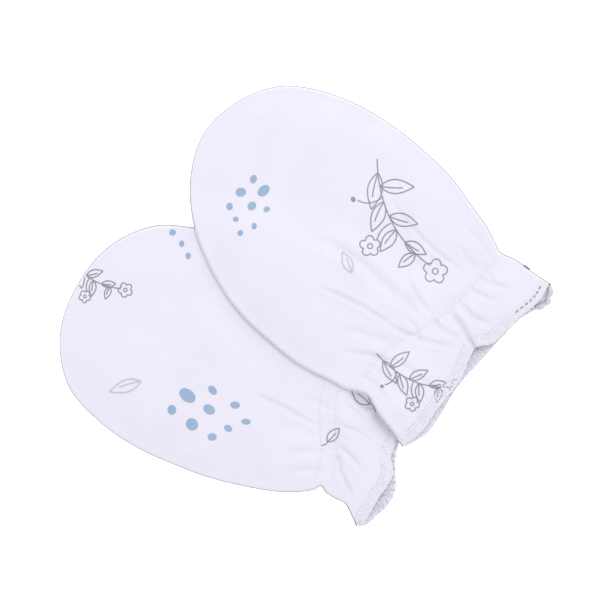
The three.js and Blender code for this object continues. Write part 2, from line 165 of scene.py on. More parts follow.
def steps_of(line):
    return np.linalg.norm(np.diff(line, axis=0), axis=1)


def walked_along(line):
    return np.append(0, np.cumsum(steps_of(line)))


def headings(line):
    run = np.gradient(line, axis=0)
    return run / np.linalg.norm(run, axis=1)[:, None]


def to_the_right(line):
    run = headings(line)
    return np.column_stack([run[:, 1], -run[:, 0]])


def evenly(line, count):
    walked = walked_along(line)
    at = np.linspace(0, walked[-1], count)
    return np.column_stack([np.interp(at, walked, line[:, side]) for side in (ALONG, ACROSS)])


CURVE_STEPS = 24
SEAM_PLACES = 301


def smooth_through(places, count):
    p = np.asarray(places, float)
    p = np.vstack([2 * p[0] - p[1], p, 2 * p[-1] - p[-2]])
    gap = np.sqrt(steps_of(p))[:, None]
    chord = np.diff(p, axis=0) / gap
    heading = chord[:-1] - (p[2:] - p[:-2]) / (gap[:-1] + gap[1:]) + chord[1:]
    t = np.linspace(0, 1, CURVE_STEPS, endpoint=False)[:, None]
    runs = []
    for a, b, step, leave, arrive in zip(p[1:-2], p[2:-1], gap[1:-1], heading[:-1], heading[1:]):
        bend = step * (leave * t * (1 - t) ** 2 + arrive * t * t * (t - 1))
        runs.append(a + (b - a) * t * t * (3 - 2 * t) + bend)
    return evenly(np.vstack([*runs, p[-2:-1]]), count)


def seam_line(mitten):
    turn, reach = np.array(mitten["tip_seam"], float).T
    tip = mitten["tip_centre"] + reach[:, None] * np.column_stack(
        [np.sin(np.radians(turn)), np.cos(np.radians(turn))]
    )
    return smooth_through([*mitten["left_seam"], *tip, *mitten["right_seam"][::-1]], SEAM_PLACES)


for mitten in (upper, lower):
    mitten["seam"] = seam_line(mitten)
    print(mitten["name"], "mitten: its seam is", round(steps_of(mitten["seam"]).sum()), "mm long")

# %% [markdown]
# ## How the pair lies
# The lower mitten lies on the table. The upper one drapes over its cuff: its underside climbs a few
# millimetres where the cloth beneath begins, and its weight presses the lower mitten flat there. A real
# mitten is a soft empty bag, so its height rises quickly from the seamed edge and then levels off.

# %% Distances to lines and outlines
def nearest(line, places):
    distance = np.full(len(places), np.inf)
    share = np.zeros(len(places))
    for i, (a, b) in enumerate(zip(line[:-1], line[1:])):
        run = b - a
        t = np.clip((places - a) @ run / (run @ run), 0, 1)
        away = np.hypot(*(places - a - t[:, None] * run).T)
        closer = away < distance
        distance[closer] = away[closer]
        share[closer] = (i + t[closer]) / (len(line) - 1)
    return distance, share


def depth_inside(ring, places):
    inside = np.zeros(len(places), bool)
    for (ax, ay), (bx, by) in zip(ring, np.roll(ring, 1, axis=0)):
        if ay != by:
            beside = (ay > places[:, 1]) != (by > places[:, 1])
            inside ^= beside & (places[:, 0] < (bx - ax) * (places[:, 1] - ay) / (by - ay) + ax)
    distance, _ = nearest(np.vstack([ring, ring[:1]]), places)
    return np.where(inside, distance, -distance)


def to_pair(mitten, places):
    angle = np.radians(mitten["points_to"])
    forward = np.array([np.cos(angle), np.sin(angle)])
    right = np.array([forward[1], -forward[0]])
    return mitten["wrist"] + places[:, :1] * forward + places[:, 1:] * right


def outline_on_table(mitten):
    seam = mitten["seam"]
    across = np.linspace(seam[-1, ACROSS], seam[0, ACROSS], 31)[1:-1]
    hem = np.column_stack([read_table(mitten["cuff"], BACK_HEM, across), across])
    return to_pair(mitten, np.vstack([seam, hem]))


for mitten in (upper, lower):
    mitten["outline"] = outline_on_table(mitten)
    size = np.ptp(mitten["outline"], axis=0)
    print(mitten["name"], "mitten covers", size.round(1), "mm")

# %% Height of the underside
WALL = 0.7
EDGE_RADIUS = 1.15
# The seam lies low, because the back rests flat: its height as a share of the edge's radius
LOW_SEAM = 0.5
SEAM_GAP = 0.02
UNDERSIDE = 0.08
EDGE_HEIGHT = UNDERSIDE + 2 * EDGE_RADIUS + SEAM_GAP
REST_GAP = 0.05
DRAPE_REACH = 14
PRESSED_CROWN = 0.5
PRESS_REACH = 12
PRESSED_OUTSIDE = 0.5
CROWN_SOFTNESS = 2.7
# The side of the upper cuff stands a little off the lower wrist: place, reach and lift
LIFTED_SIDE = ((-11, -29), 7.0, 1.6)


def smooth(value, start, end):
    t = np.clip((value - start) / (end - start), 0, 1)
    return t * t * (3 - 2 * t)


def mix(a, b, share):
    return a + (b - a) * share


def soft_rise(distance):
    t = np.maximum(distance, 0) / CROWN_SOFTNESS
    return 1 - (1 + t) * np.exp(-t)


def pressed_rise(on_table):
    return PRESSED_CROWN * soft_rise(depth_inside(lower["outline"], on_table) - EDGE_RADIUS)


def underside(mitten, places):
    if mitten is lower:
        return np.zeros(len(places))
    on_table = to_pair(mitten, places)
    inside = depth_inside(lower["outline"], on_table) - EDGE_RADIUS
    drape = (EDGE_HEIGHT + REST_GAP) * smooth(inside, -DRAPE_REACH, 0) + pressed_rise(on_table)
    middle, reach, lift = LIFTED_SIDE
    away = np.linalg.norm(places - middle, axis=1) / reach
    return drape + lift * np.exp(-away * away)


climb = underside(upper, np.array([(-15, -20), (60, 10)], float))
print("underside of the upper mitten: cuff", climb[0].round(2), "mm, fingertips", climb[1].round(2))

# %% [markdown]
# ## Creases and gathers
# Cloth that was washed and folded keeps soft troughs with a raised lip on each side. The main ones are
# listed one by one, each on a curve through three places. Round the elastic the knit is drawn in to less
# than its width, so it crumples into many short uneven puckers that fan out and die away. Those come
# from a seeded list, because nobody could place them by hand and they must be the same every time.

# %% Main creases
# from, over and to as (along, across), then depth, half width and how the crease ends
upper["creases"] = [
    ((44, -9), (25, -2.4), (3, -3.5), 0.95, 1.9, "fades"),
    ((33, -18.5), (18, -12), (3, -8.4), 0.62, 0.8, "fades"),
    ((9, -10.2), (-2, -6), (-14, 1.4), 0.66, 0.9, "fades"),
    ((36, 18), (18, 15.9), (-3, 19), 0.55, 0.75, "fades"),
    ((14, 5.4), (6, 2.4), (-2, 2.4), 0.60, 0.9, "fades"),
    ((11, -25.5), (3.5, -19.5), (-6, -14.4), 0.62, 1.0, "fades"),
    ((20, 10), (11, 9.2), (0, 10.4), 0.45, 1.9, "fades"),
    ((17, -21.5), (8, -15.8), (0, -12), 0.50, 1.6, "fades"),
    ((13, 27), (5, 27.8), (-3, 26), 0.45, 1.5, "fades"),
    ((11, 22.8), (4, 21.6), (-2, 21.4), 0.36, 0.9, "fades"),
    ((-1.5, 19.6), (-7, 22), (-13, 26), 0.60, 1.0, "fades"),
    ((-1, 15.3), (-6, 16.8), (-12, 19.2), 0.60, 0.9, "fades"),
    ((-2, 11.4), (-9, 10.6), (-16, 14), 0.75, 1.0, "fades"),
    ((-3, 6.6), (-9, 6), (-17, 4.2), 1.25, 0.95, "hem"),
    ((0, 1.2), (-5, 1.1), (-12, 3), 0.60, 0.9, "fades"),
    ((-1, -15.8), (-9, -14), (-20, -13), 0.42, 1.5, "hem"),
    ((0, -22.2), (-8, -21.2), (-21, -22.4), 0.46, 1.7, "hem"),
    ((4, -27), (-4, -25), (-13, -26.5), 0.45, 1.1, "fades"),
    ((38, 6), (30, 3), (20, 2), 0.22, 2.2, "fades"),
    ((52, -2), (42, 2), (28, 9), 0.14, 2.4, "fades"),
    ((16, -2), (8, -0.6), (0, -1.6), 0.42, 2.1, "fades"),
    ((15, 14.5), (8, 13), (0, 13.4), 0.34, 1.5, "fades"),
    ((5, -5), (0, -4.4), (-7, -8.5), 0.42, 0.8, "fades"),
    ((2, 24.4), (-3, 23), (-8, 21.4), 0.36, 1.0, "fades"),
]
lower["creases"] = [
    ((32, -8.4), (19, -10), (6, -13.6), 0.66, 0.85, "fades"),
    ((21, 2.6), (10, -0.5), (3, -4), 0.60, 1.1, "fades"),
    ((18, -24), (9, -20.6), (1, -18.6), 0.42, 1.8, "fades"),
    ((14, -29), (8, -26.2), (1, -24.8), 0.40, 1.3, "fades"),
    ((17, -4.6), (11, -5.5), (4, -6.8), 0.45, 1.2, "fades"),
    ((5, -3.8), (-3, -5.5), (-13, -8), 0.62, 0.95, "fades"),
    ((4.5, -11), (-4, -11), (-15, -15.6), 0.72, 1.0, "hem"),
    ((2, -16.2), (-3, -18.2), (-9, -22.2), 0.66, 1.0, "fades"),
    ((1, -18.6), (-1, -22), (-2.4, -27), 0.55, 0.9, "fades"),
    ((-0.5, -23), (-5, -27), (-8.4, -32.6), 0.85, 0.9, "fades"),
    ((22, -15), (13, -15.4), (4, -15.8), 0.34, 2.0, "fades"),
    ((66, 16), (54, 9), (44, 12), 0.16, 2.2, "fades"),
    ((60, -22), (50, -27), (34, -27), 0.16, 2.6, "fades"),
    ((58, 2), (50, -3), (38, -2), 0.14, 3.0, "fades"),
]
# Beside the upper mitten the lower cuff sinks into a pocket, rises in a small ridge, and dips at the
# hem under the other's corner: columns as above but for the last, with the ridge as a negative depth
POCKET_FOLDS = [
    ((2.2, 0.6), (-2.6, -1.6), (-7.6, -3.2), 1.5, 1.15),
    ((3.0, -1.4), (-2.4, -4.2), (-8.6, -5.6), -0.7, 1.1),
    ((-6.0, -3.4), (-10.6, -6.6), (-19.0, -12.6), 1.15, 2.1),
]
# Each trough has a lip: its height as a share of the depth, and how many half widths away it stands
LIP, LIP_AT = 0.3, 1.7
# A trough is a narrow deep part in a wide shallow one: share of the depth and of the half width
TROUGH = [(0.7, 0.6), (0.3, 1.4)]
# Shares of its length over which a crease, or a fold of the pocket, rises and fades
CREASE_RISES, CREASE_FADES = (0, 0.35), (0.65, 1)
FOLD_RISES, FOLD_FADES = (0, 0.3), (0.7, 1)


def curve_over(start, over, end, count=15):
    start, over, end = (np.array(place, float) for place in (start, over, end))
    t = np.linspace(0, 1, count)[:, None]
    pull = 2 * over - (start + end) / 2
    return (1 - t) ** 2 * start + 2 * t * (1 - t) * pull + t * t * end


def crease_depth(mitten, places):
    depth = np.zeros(len(places))
    for start, over, end, deep, half_width, ends in mitten["creases"]:
        distance, share = nearest(curve_over(start, over, end), places)
        offset = distance / half_width
        trough = sum(part * np.exp(-((offset / wide) ** 2)) for part, wide in TROUGH)
        section = trough - LIP * np.exp(-((offset - LIP_AT) ** 2))
        fade = 1 if ends == "hem" else 1 - smooth(share, *CREASE_FADES)
        depth += deep * section * smooth(share, *CREASE_RISES) * fade
    return depth


def plain_fold(row, places):
    start, over, end, deep, half_width = row
    distance, share = nearest(curve_over(start, over, end), places)
    fade = smooth(share, *FOLD_RISES) * (1 - smooth(share, *FOLD_FADES))
    return deep * np.exp(-((distance / half_width) ** 2)) * fade


print("creases:", len(upper["creases"]), "on the upper mitten,", len(lower["creases"]), "on the lower")

# %% Gathers at the elastic
# Lines of elastic thread, as offsets along the mitten from the elastic's middle
upper["elastic_lines"] = (0.0,)
lower["elastic_lines"] = (-2.4, 2.4)
PUCKER_PITCH = 1.9
PUCKER_LIP = 0.35
PUCKER_SPREAD = 0.09
chance = np.random.default_rng(11)


# A row for each pucker: across, depth, half width, reach to the hand and to the hem, slant
def pucker_list(mitten):
    left, right = mitten["cuff"][0, 0] + 3, mitten["cuff"][-1, 0] - 3
    at = np.arange(left, right, PUCKER_PITCH)
    at = at + chance.uniform(-0.55, 0.55, len(at))
    return np.column_stack([
        at,
        chance.uniform(0.05, 0.22, len(at)),
        chance.uniform(0.38, 0.62, len(at)),
        chance.uniform(2.5, 8.0, len(at)),
        chance.uniform(2.0, 5.0, len(at)),
        chance.uniform(-0.22, 0.22, len(at)),
    ])


def gather_depth(mitten, past, across):
    depth = np.zeros(len(past))
    for at, deep, half_width, up, down, slant in mitten["puckers"]:
        reach = np.where(past > 0, 1 - smooth(past, 0, up), 1 - smooth(-past, 0, down))
        width = half_width + PUCKER_SPREAD * np.abs(past)
        offset = (across - at - slant * past) / width
        lip = PUCKER_LIP * np.exp(-((np.abs(offset) - LIP_AT) ** 2))
        depth += deep * reach * (np.exp(-offset * offset) - lip)
    return depth


for mitten in (upper, lower):
    mitten["puckers"] = pucker_list(mitten)
    print(mitten["name"], "mitten:", len(mitten["puckers"]), "puckers")

# %% [markdown]
# ## Height of the cloth
# An empty mitten is only two layers and a little air, so its front rises within a few millimetres of
# the seam and then stays nearly level, lower at the elastic and at the hem. The height is one sum over
# the plan: crown, slow waves, creases, gathers and the elastic's line. Sculpting could give the same
# look, but a sum lets the threads and the ink be laid on exactly the same surface later.

# %% Waves of the cloth and the elastic's line
CROWN = 2.1
CROWN_AT_ELASTIC = 0.15
CROWN_OF_RUFFLE = 0.85
HAND_RISE = 22
RUFFLE_RISE = 7
ELASTIC_DEPTH = 0.3
ELASTIC_WIDTH = 1.1
LOWEST_TOP = 1.62
# Slow waves of the cloth: how high, how long, and their heading and start in turns
SLOW_WAVES = [
    (0.07, 27, 0.08, 0.1), (0.05, 19, 0.31, 0.6), (0.04, 14, 0.19, 0.35), (0.035, 8.5, 0.43, 0.8),
]
# How far from the seam the creases begin and are whole
CLEAR_OF_SEAM = (0.8, 5)


def slow_waves(places):
    height = np.zeros(len(places))
    for high, long, heading, start in SLOW_WAVES:
        way = np.array([np.cos(2 * np.pi * heading), np.sin(2 * np.pi * heading)])
        height += high * np.sin(2 * np.pi * (places @ way / long + start))
    return height


def elastic_channel(mitten, past):
    return sum(np.exp(-(((past - line) / ELASTIC_WIDTH) ** 2)) for line in mitten["elastic_lines"])


# %% Height of the front's outer face over the underside
def edge_round(edge):
    inside = EDGE_RADIUS - np.clip(edge, 0, EDGE_RADIUS)
    return EDGE_RADIUS - np.sqrt(EDGE_RADIUS**2 - inside**2)


# How far places lie from the seam, past the elastic and across
def measured(mitten, places):
    along, across = places.T
    edge, _ = nearest(mitten["seam"], places)
    return edge, along - read_table(mitten["cuff"], ELASTIC, across), across


def front_rise(mitten, places):
    edge, past, across = measured(mitten, places)
    full = np.where(
        past > 0,
        mix(CROWN_AT_ELASTIC, 1, smooth(past, 0, HAND_RISE)),
        mix(CROWN_AT_ELASTIC, CROWN_OF_RUFFLE, smooth(-past, 0, RUFFLE_RISE)),
    )
    crown = CROWN * full * soft_rise(edge - EDGE_RADIUS)
    free = np.ones(len(places))
    pocket = 0
    if mitten is lower:
        on_table = to_pair(mitten, places)
        pressed = smooth(depth_inside(upper["outline"], on_table), -PRESS_REACH, -PRESSED_OUTSIDE)
        crown = mix(crown, pressed_rise(on_table), pressed)
        free = 1 - pressed
        pocket = sum(plain_fold(row, places) for row in POCKET_FOLDS)
    drawn = ELASTIC_DEPTH * elastic_channel(mitten, past) + gather_depth(mitten, past, across)
    clear = smooth(edge, *CLEAR_OF_SEAM) * free
    creased = drawn + crease_depth(mitten, places) - slow_waves(places)
    height = EDGE_HEIGHT + crown - clear * creased - pocket
    at_edge = EDGE_HEIGHT - (2 - LOW_SEAM) * edge_round(edge)
    return np.where(edge < EDGE_RADIUS, at_edge, np.maximum(height, LOWEST_TOP))


def front_top(mitten, places):
    return underside(mitten, places) + front_rise(mitten, places)


# %% Height of the hidden face
# It is creased too, less deep, in the mirrored places of the front's creases
HIDDEN_SHARE = 0.55
DEEPEST_DENT = 0.38


def hidden_dents(mitten, places):
    edge, past, across = measured(mitten, places)
    channel = ELASTIC_DEPTH * elastic_channel(mitten, past)
    drawn = HIDDEN_SHARE * (crease_depth(mitten, places * (1, -1)) + channel)
    drawn += gather_depth(mitten, past, -across) + slow_waves(places)
    return smooth(edge, *CLEAR_OF_SEAM) * np.clip(drawn, 0, DEEPEST_DENT)


def back_face(mitten, places):
    edge, _ = nearest(mitten["seam"], places)
    lift = UNDERSIDE + LOW_SEAM * edge_round(edge)
    return underside(mitten, places) + lift + hidden_dents(mitten, places)


sample = np.array([(30, 0), (0, 0), (-10, -12)], float)
for mitten in (upper, lower):
    heights = front_top(mitten, sample).round(2)
    print(mitten["name"], "front over hand, elastic and ruffle:", heights, "mm")

# %% [markdown]
# ## One panel as a thin shell
# The panel is a grid that follows the cloth: its columns run from the seam in to the middle line, round
# the whole hand from one end of the hem to the other, so its rows keep parallel to the seamed edge. The
# edge turns under in a small round, the way a turned seam does. A second face one wall further in
# closes the shell, and its thickness shows where the ruffle is open. A plain grid would cut the
# outline into steps, and a cloth simulation would lose the measured folds.

# %% Columns of a panel
def station_along(mitten, hem, station, across):
    elastic = read_table(mitten["cuff"], ELASTIC, across)
    far = mitten["tip_centre"][ALONG] if station > 0 else read_table(mitten["cuff"], hem, across)
    return mix(elastic, far, abs(station))


def seam_at_station(mitten, hem, station, side):
    seam = mitten["seam"]
    this_side = (seam[:, ACROSS] > 0) == (side > 0)
    half = seam[(seam[:, ALONG] <= mitten["tip_centre"][ALONG]) & this_side]
    half = half if side > 0 else half[::-1]
    miss = half[:, ALONG] - station_along(mitten, hem, station, half[:, ACROSS])
    met = np.flatnonzero((miss[:-1] >= 0) & (miss[1:] < 0))
    if len(met) == 0:
        return half[0, ACROSS] if station > 0 else half[-1, ACROSS]
    i = met[0]
    return mix(half[i, ACROSS], half[i + 1, ACROSS], miss[i] / (miss[i] - miss[i + 1]))


# A column that meets the seam at a slant has a longer way across the round edge; the slant's cosine
# counts as at least this
LEAST_SQUARE = 0.6


def give_edges(mitten, columns):
    seam = mitten["seam"]
    _, share = nearest(seam, np.array([col["edge"] for col in columns]))
    closest = np.clip(np.rint(share * (len(seam) - 1)).astype(int), 2, len(seam) - 3)
    for col, at in zip(columns, closest):
        run = seam[at + 2] - seam[at - 2]
        col["outward"] = np.array([run[1], -run[0]]) / np.linalg.norm(run)
        way = col["inner"] - col["edge"]
        length = np.linalg.norm(way)
        square = max(abs(col["outward"] @ way) / length, LEAST_SQUARE)
        col["edge_share"] = EDGE_RADIUS / square / length


def panel_columns(mitten, hem, ruffle_steps, hand_steps, tip_steps):
    ruffle = np.linspace(-1, 0, ruffle_steps, endpoint=False)
    stations = np.append(ruffle, np.linspace(0, 1, hand_steps))
    centre = mitten["tip_centre"]
    sides = {}
    for side in (-1, 1):
        sides[side] = []
        for spine, station in enumerate(stations):
            across = seam_at_station(mitten, hem, station, side)
            edge = np.array([station_along(mitten, hem, station, across), across])
            inner = np.array([station_along(mitten, hem, station, centre[ACROSS]), centre[ACROSS]])
            sides[side].append({"edge": edge, "inner": inner, "spine": spine, "station": station})
    tip_seam = mitten["seam"][mitten["seam"][:, ALONG] > centre[ALONG]]
    bearing = np.arctan2(*(tip_seam - centre).T)
    tip = []
    for angle in np.linspace(np.pi, 0, tip_steps + 1)[1:-1]:
        on_seam = [np.interp(angle, bearing[::-1], tip_seam[::-1, k]) for k in (ALONG, ACROSS)]
        edge = np.array(on_seam)
        tip.append({"edge": edge, "inner": centre, "spine": len(stations) - 1, "station": None})
    columns = sides[-1] + tip + sides[1][::-1]
    give_edges(mitten, columns)
    return columns, len(stations)


# %% Faces and vertices of the shell
EDGE_TURNS = np.radians([0, 12, 25, 40, 55, 72, 90])
SEAM_SUNK = 0.22
SEAM_SUNK_TURN = np.radians(14)
# Rows stand closer near the seam
ROW_CROWDING = 1.12


def column_places(mitten, hem, col, shares):
    across = mix(col["edge"][ACROSS], col["inner"][ACROSS], shares)
    if col["station"] is None:
        along = mix(col["edge"][ALONG], col["inner"][ALONG], shares)
    else:
        along = station_along(mitten, hem, col["station"], across)
    return np.column_stack([along, across])


def panel_shell(mitten, is_front, ruffle_steps, hand_steps, tip_steps, row_count):
    hem = FRONT_HEM if is_front else BACK_HEM
    columns, spine_count = panel_columns(mitten, hem, ruffle_steps, hand_steps, tip_steps)
    turned = 1 - np.cos(EDGE_TURNS)
    sunk = SEAM_SUNK / EDGE_RADIUS * np.exp(-((EDGE_TURNS / SEAM_SUNK_TURN) ** 2))
    steps = (np.arange(1, row_count + 1) / row_count) ** ROW_CROWDING
    places, level = [], []
    for col in columns:
        round_edge = col["edge_share"] * (turned + sunk)
        shares = np.append(round_edge, mix(col["edge_share"], 1, steps[:-1]))
        places.append(column_places(mitten, hem, col, shares))
        outward = to_pair(mitten, col["outward"][None])[0] - mitten["wrist"]
        level.append(np.outer(np.append(np.cos(EDGE_TURNS), np.zeros(row_count - 1)), outward))
    rows = len(EDGE_TURNS) + row_count - 1
    spine = [columns[k]["station"] for k in range(spine_count)]
    middle = mitten["tip_centre"][ACROSS]
    spine_places = [(station_along(mitten, hem, s, np.array([middle]))[0], middle) for s in spine]
    places = np.vstack([*places, spine_places])
    level = np.vstack([*level, np.zeros((spine_count, 2))])

    lift = np.append(np.sin(EDGE_TURNS), np.full(row_count - 1, np.nan))
    lift = np.append(np.tile(lift, len(columns)), np.full(spine_count, np.nan))
    facing = 1 if is_front else -1
    rim = UNDERSIDE + LOW_SEAM * EDGE_RADIUS + (SEAM_GAP if is_front else 0)
    tall = (2 - LOW_SEAM if is_front else LOW_SEAM) * EDGE_RADIUS
    dents = 0 if is_front else hidden_dents(mitten, places)
    face = front_rise(mitten, places) if is_front else UNDERSIDE + dents
    over = np.where(np.isnan(lift), face, rim + facing * tall * np.nan_to_num(lift))
    top = underside(mitten, places) + over
    outer = np.column_stack([to_pair(mitten, places), top])
    upright = facing * np.where(np.isnan(lift), 1, np.nan_to_num(lift))
    inner = outer - WALL * np.column_stack([level, upright])
    inner[:, 2] -= np.where(np.isnan(lift), dents, 0)

    spine_start = len(columns) * rows
    index = np.arange(spine_start).reshape(len(columns), rows)
    index = np.column_stack([index, [spine_start + col["spine"] for col in columns]])
    a, b, c, d = index[:-1, :-1], index[1:, :-1], index[1:, 1:], index[:-1, 1:]
    quads = np.stack([a, b, c, d], axis=-1).reshape(-1, 4)
    border = np.concatenate([index[0, :0:-1], index[:, 0], index[-1, 1:-1]])
    count = len(outer)
    after = np.roll(border, -1)
    rim_quads = np.column_stack([after, border, border + count, after + count])
    quads = np.vstack([quads, quads[:, ::-1] + count, rim_quads])
    return np.vstack([outer, inner]), quads, np.vstack([places, places])


# %% [markdown]
# ## Turning numbers into Blender pieces
# Every piece is written as vertices and faces, in millimetres, in one frame with the solids. Each keeps
# its place on the cloth as its UV, so a weave can run along the mitten wherever the cloth goes. The
# solids stand with the pair's middle over the origin, so the same shift is measured and applied here.

# %% Middle of the pair
outlines = np.vstack([upper["outline"], lower["outline"]])
pair_middle = (outlines.min(axis=0) + outlines.max(axis=0)) / 2
solids_middle = np.array([(solids_box[0][k] + solids_box[1][k]) / 2 / MM for k in (0, 1)])
SHIFT = np.append(solids_middle - pair_middle, 0)
print("shift of the pair in mm:", SHIFT.round(3))

# %% Make a piece from vertices, faces and its places on the cloth
def make_piece(name, vertices, faces, cloth_places, material):
    mesh = bpy.data.meshes.new(name)
    kept = [list(dict.fromkeys(face)) for face in faces]
    kept = [face for face in kept if len(face) > 2]
    mesh.from_pydata(((vertices + SHIFT) * MM).tolist(), [], kept)
    corners = np.empty(len(mesh.loops), int)
    mesh.loops.foreach_get("vertex_index", corners)
    layer = mesh.uv_layers.new(name="cloth_mm")
    layer.data.foreach_set("uv", cloth_places[corners][:, ::-1].astype(np.float32).ravel())
    mesh.polygons.foreach_set("use_smooth", np.ones(len(mesh.polygons), bool))
    mesh.materials.append(material)
    mesh.update()
    piece = bpy.data.objects.new(name, mesh)
    bpy.context.scene.collection.objects.link(piece)
    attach(piece, "root")
    return piece


# %% [markdown]
# ## The jersey
# Single jersey shows columns of small V stitches. They are modelled as a bump from plain sums: a wave
# across the columns, and a second wave along them that leans one way and then the other, which makes
# the V. The cloth is a cool, nearly white cotton, slightly mottled where the yarn is uneven, matt, with
# the soft bright edge that short fibres give.

# %% Helpers for materials
def new_material(name):
    material = bpy.data.materials.new(name)
    material.use_nodes = True
    tree = material.node_tree
    return material, tree, tree.nodes["Principled BSDF"]


def sum_of(tree, operation, *values):
    node = tree.nodes.new("ShaderNodeMath")
    node.operation = operation
    for socket, value in zip(node.inputs, values):
        if isinstance(value, bpy.types.NodeSocket):
            tree.links.new(value, socket)
        else:
            socket.default_value = value
    return node.outputs[0]


def noise(tree, scale, detail=2.0):
    place = tree.nodes.new("ShaderNodeTexCoord")
    node = tree.nodes.new("ShaderNodeTexNoise")
    node.inputs["Scale"].default_value = scale
    node.inputs["Detail"].default_value = detail
    tree.links.new(place.outputs["Object"], node.inputs["Vector"])
    return node.outputs["Fac"]


def mottled(tree, shader, light, dark, scale):
    ramp = tree.nodes.new("ShaderNodeValToRGB")
    ramp.color_ramp.elements[0].position = 0.3
    ramp.color_ramp.elements[0].color = (*dark, 1)
    ramp.color_ramp.elements[1].position = 0.7
    ramp.color_ramp.elements[1].color = (*light, 1)
    tree.links.new(noise(tree, scale, 4.0), ramp.inputs["Fac"])
    tree.links.new(ramp.outputs["Color"], shader.inputs["Base Color"])


def raised(tree, shader, height, distance):
    bump = tree.nodes.new("ShaderNodeBump")
    bump.inputs["Strength"].default_value = 1.0
    bump.inputs["Distance"].default_value = distance * MM
    tree.links.new(height, bump.inputs["Height"])
    tree.links.new(bump.outputs["Normal"], shader.inputs["Normal"])


def cloth_place(tree):
    cloth = tree.nodes.new("ShaderNodeUVMap")
    cloth.uv_map = "cloth_mm"
    parts = tree.nodes.new("ShaderNodeSeparateXYZ")
    tree.links.new(cloth.outputs["UV"], parts.inputs[0])
    return parts.outputs["X"], parts.outputs["Y"]


# %% Jersey stitches
# Widths in mm of one column and one row of stitches, then how the bump and the mottling are sized
WALE = 0.62
COURSE = 0.48
LEG_LEAN = 0.6
STITCH_BUMP = 0.03
# Shares of the bump: the yarn's roundness, the loops along it and the loose fibres
YARN_SHARE, LOOP_SHARE, FIBRE_SHARE = 0.6, 0.4, 0.5
COTTON_MOTTLE = 90.0
FIBRE_NOISE = 2600.0


def jersey_stitches(tree):
    across, along = cloth_place(tree)
    wale = sum_of(tree, "DIVIDE", across, WALE)
    leg = sum_of(tree, "MULTIPLY", sum_of(tree, "PINGPONG", wale, 0.5), 2.0)
    course = sum_of(tree, "DIVIDE", along, COURSE)
    lean = sum_of(tree, "MULTIPLY_ADD", leg, LEG_LEAN, course)
    loop = sum_of(tree, "SINE", sum_of(tree, "MULTIPLY", lean, 2 * np.pi))
    yarn = sum_of(tree, "SINE", sum_of(tree, "MULTIPLY", leg, np.pi))
    leg_height = sum_of(tree, "MULTIPLY_ADD", loop, LOOP_SHARE, YARN_SHARE)
    stitch = sum_of(tree, "MULTIPLY", yarn, leg_height)
    return sum_of(tree, "MULTIPLY_ADD", noise(tree, FIBRE_NOISE), FIBRE_SHARE, stitch)


def knit_material(name, light, dark, roughness, sheen):
    material, tree, shader = new_material(name)
    mottled(tree, shader, light, dark, COTTON_MOTTLE)
    raised(tree, shader, jersey_stitches(tree), STITCH_BUMP)
    shader.inputs["Roughness"].default_value = roughness
    shader.inputs["Specular IOR Level"].default_value = 0.2
    shader.inputs["Sheen Weight"].default_value = sheen
    shader.inputs["Sheen Roughness"].default_value = 0.5
    return material


jersey = knit_material("jersey", (0.722, 0.707, 0.803), (0.700, 0.686, 0.786), 0.95, 0.2)
print("materials:", [material.name for material in bpy.data.materials])

# %% Four panels
# Steps in the ruffle, the hand, the fingertips and from the seam to the middle
FRONT_STEPS = (62, 118, 84, 84)
BACK_STEPS = (44, 72, 60, 48)
for mitten in (lower, upper):
    for side, is_front, steps in (("back", False, BACK_STEPS), ("front", True, FRONT_STEPS)):
        name = f"{mitten['name']}_{side}"
        vertices, quads, places = panel_shell(mitten, is_front, *steps)
        make_piece(f"{name}_cloth", vertices, quads.tolist(), places, jersey)
        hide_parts(f"{name}_panel")

# %% [markdown]
# ## Thread
# The raw edge of each ruffle is overlocked: looper threads zigzag over a band three millimetres deep and
# chain along the very edge, and needle threads hold them in rows of short dashes. On the backs, whose
# inner side shows below the front, the stitches are coarser and the lower looper shows between the
# ribs. On the lower mitten it is painted darker, as painted shade between the ribs. A tube swept along
# the thread's own path is the plain way to make them. It lies on the cloth because every point takes
# its height from the panel below it.

# %% Tube along a path
def tube(path, radius, sides=6):
    run = headings(path)
    beside = np.cross(run, (0, 0, 1.0))
    beside /= np.maximum(np.linalg.norm(beside, axis=1), 1e-6)[:, None]
    above = np.cross(beside, run)
    turn = np.linspace(0, 2 * np.pi, sides, endpoint=False)
    ring = np.cos(turn)[:, None] * beside[:, None] + np.sin(turn)[:, None] * above[:, None]
    thick = np.broadcast_to(radius, len(path))[:, None, None]
    vertices = (path[:, None] + thick * ring).reshape(-1, 3)
    index = np.arange(len(vertices)).reshape(len(path), sides)
    beyond = np.roll(index, -1, axis=1)
    quads = np.stack([index[:-1], beyond[:-1], beyond[1:], index[1:]], axis=-1).reshape(-1, 4)
    ends = [index[0, ::-1].tolist(), index[-1].tolist()]
    round_it = np.tile(turn / (2 * np.pi), len(path))
    places = np.column_stack([np.repeat(walked_along(path), sides), round_it])
    return vertices, quads.tolist() + ends, places


def joined(parts):
    vertices, faces, places, start = [], [], [], 0
    for part_vertices, part_faces, part_places in parts:
        vertices.append(part_vertices)
        faces += [[corner + start for corner in face] for face in part_faces]
        places.append(part_places)
        start += len(part_vertices)
    return np.vstack(vertices), faces, np.vstack(places)


# %% Thread material
SPUN_MOTTLE = 1500.0
# Turns of twist in a millimetre of thread
TWISTS = 2.6
TWIST_BUMP = 0.02


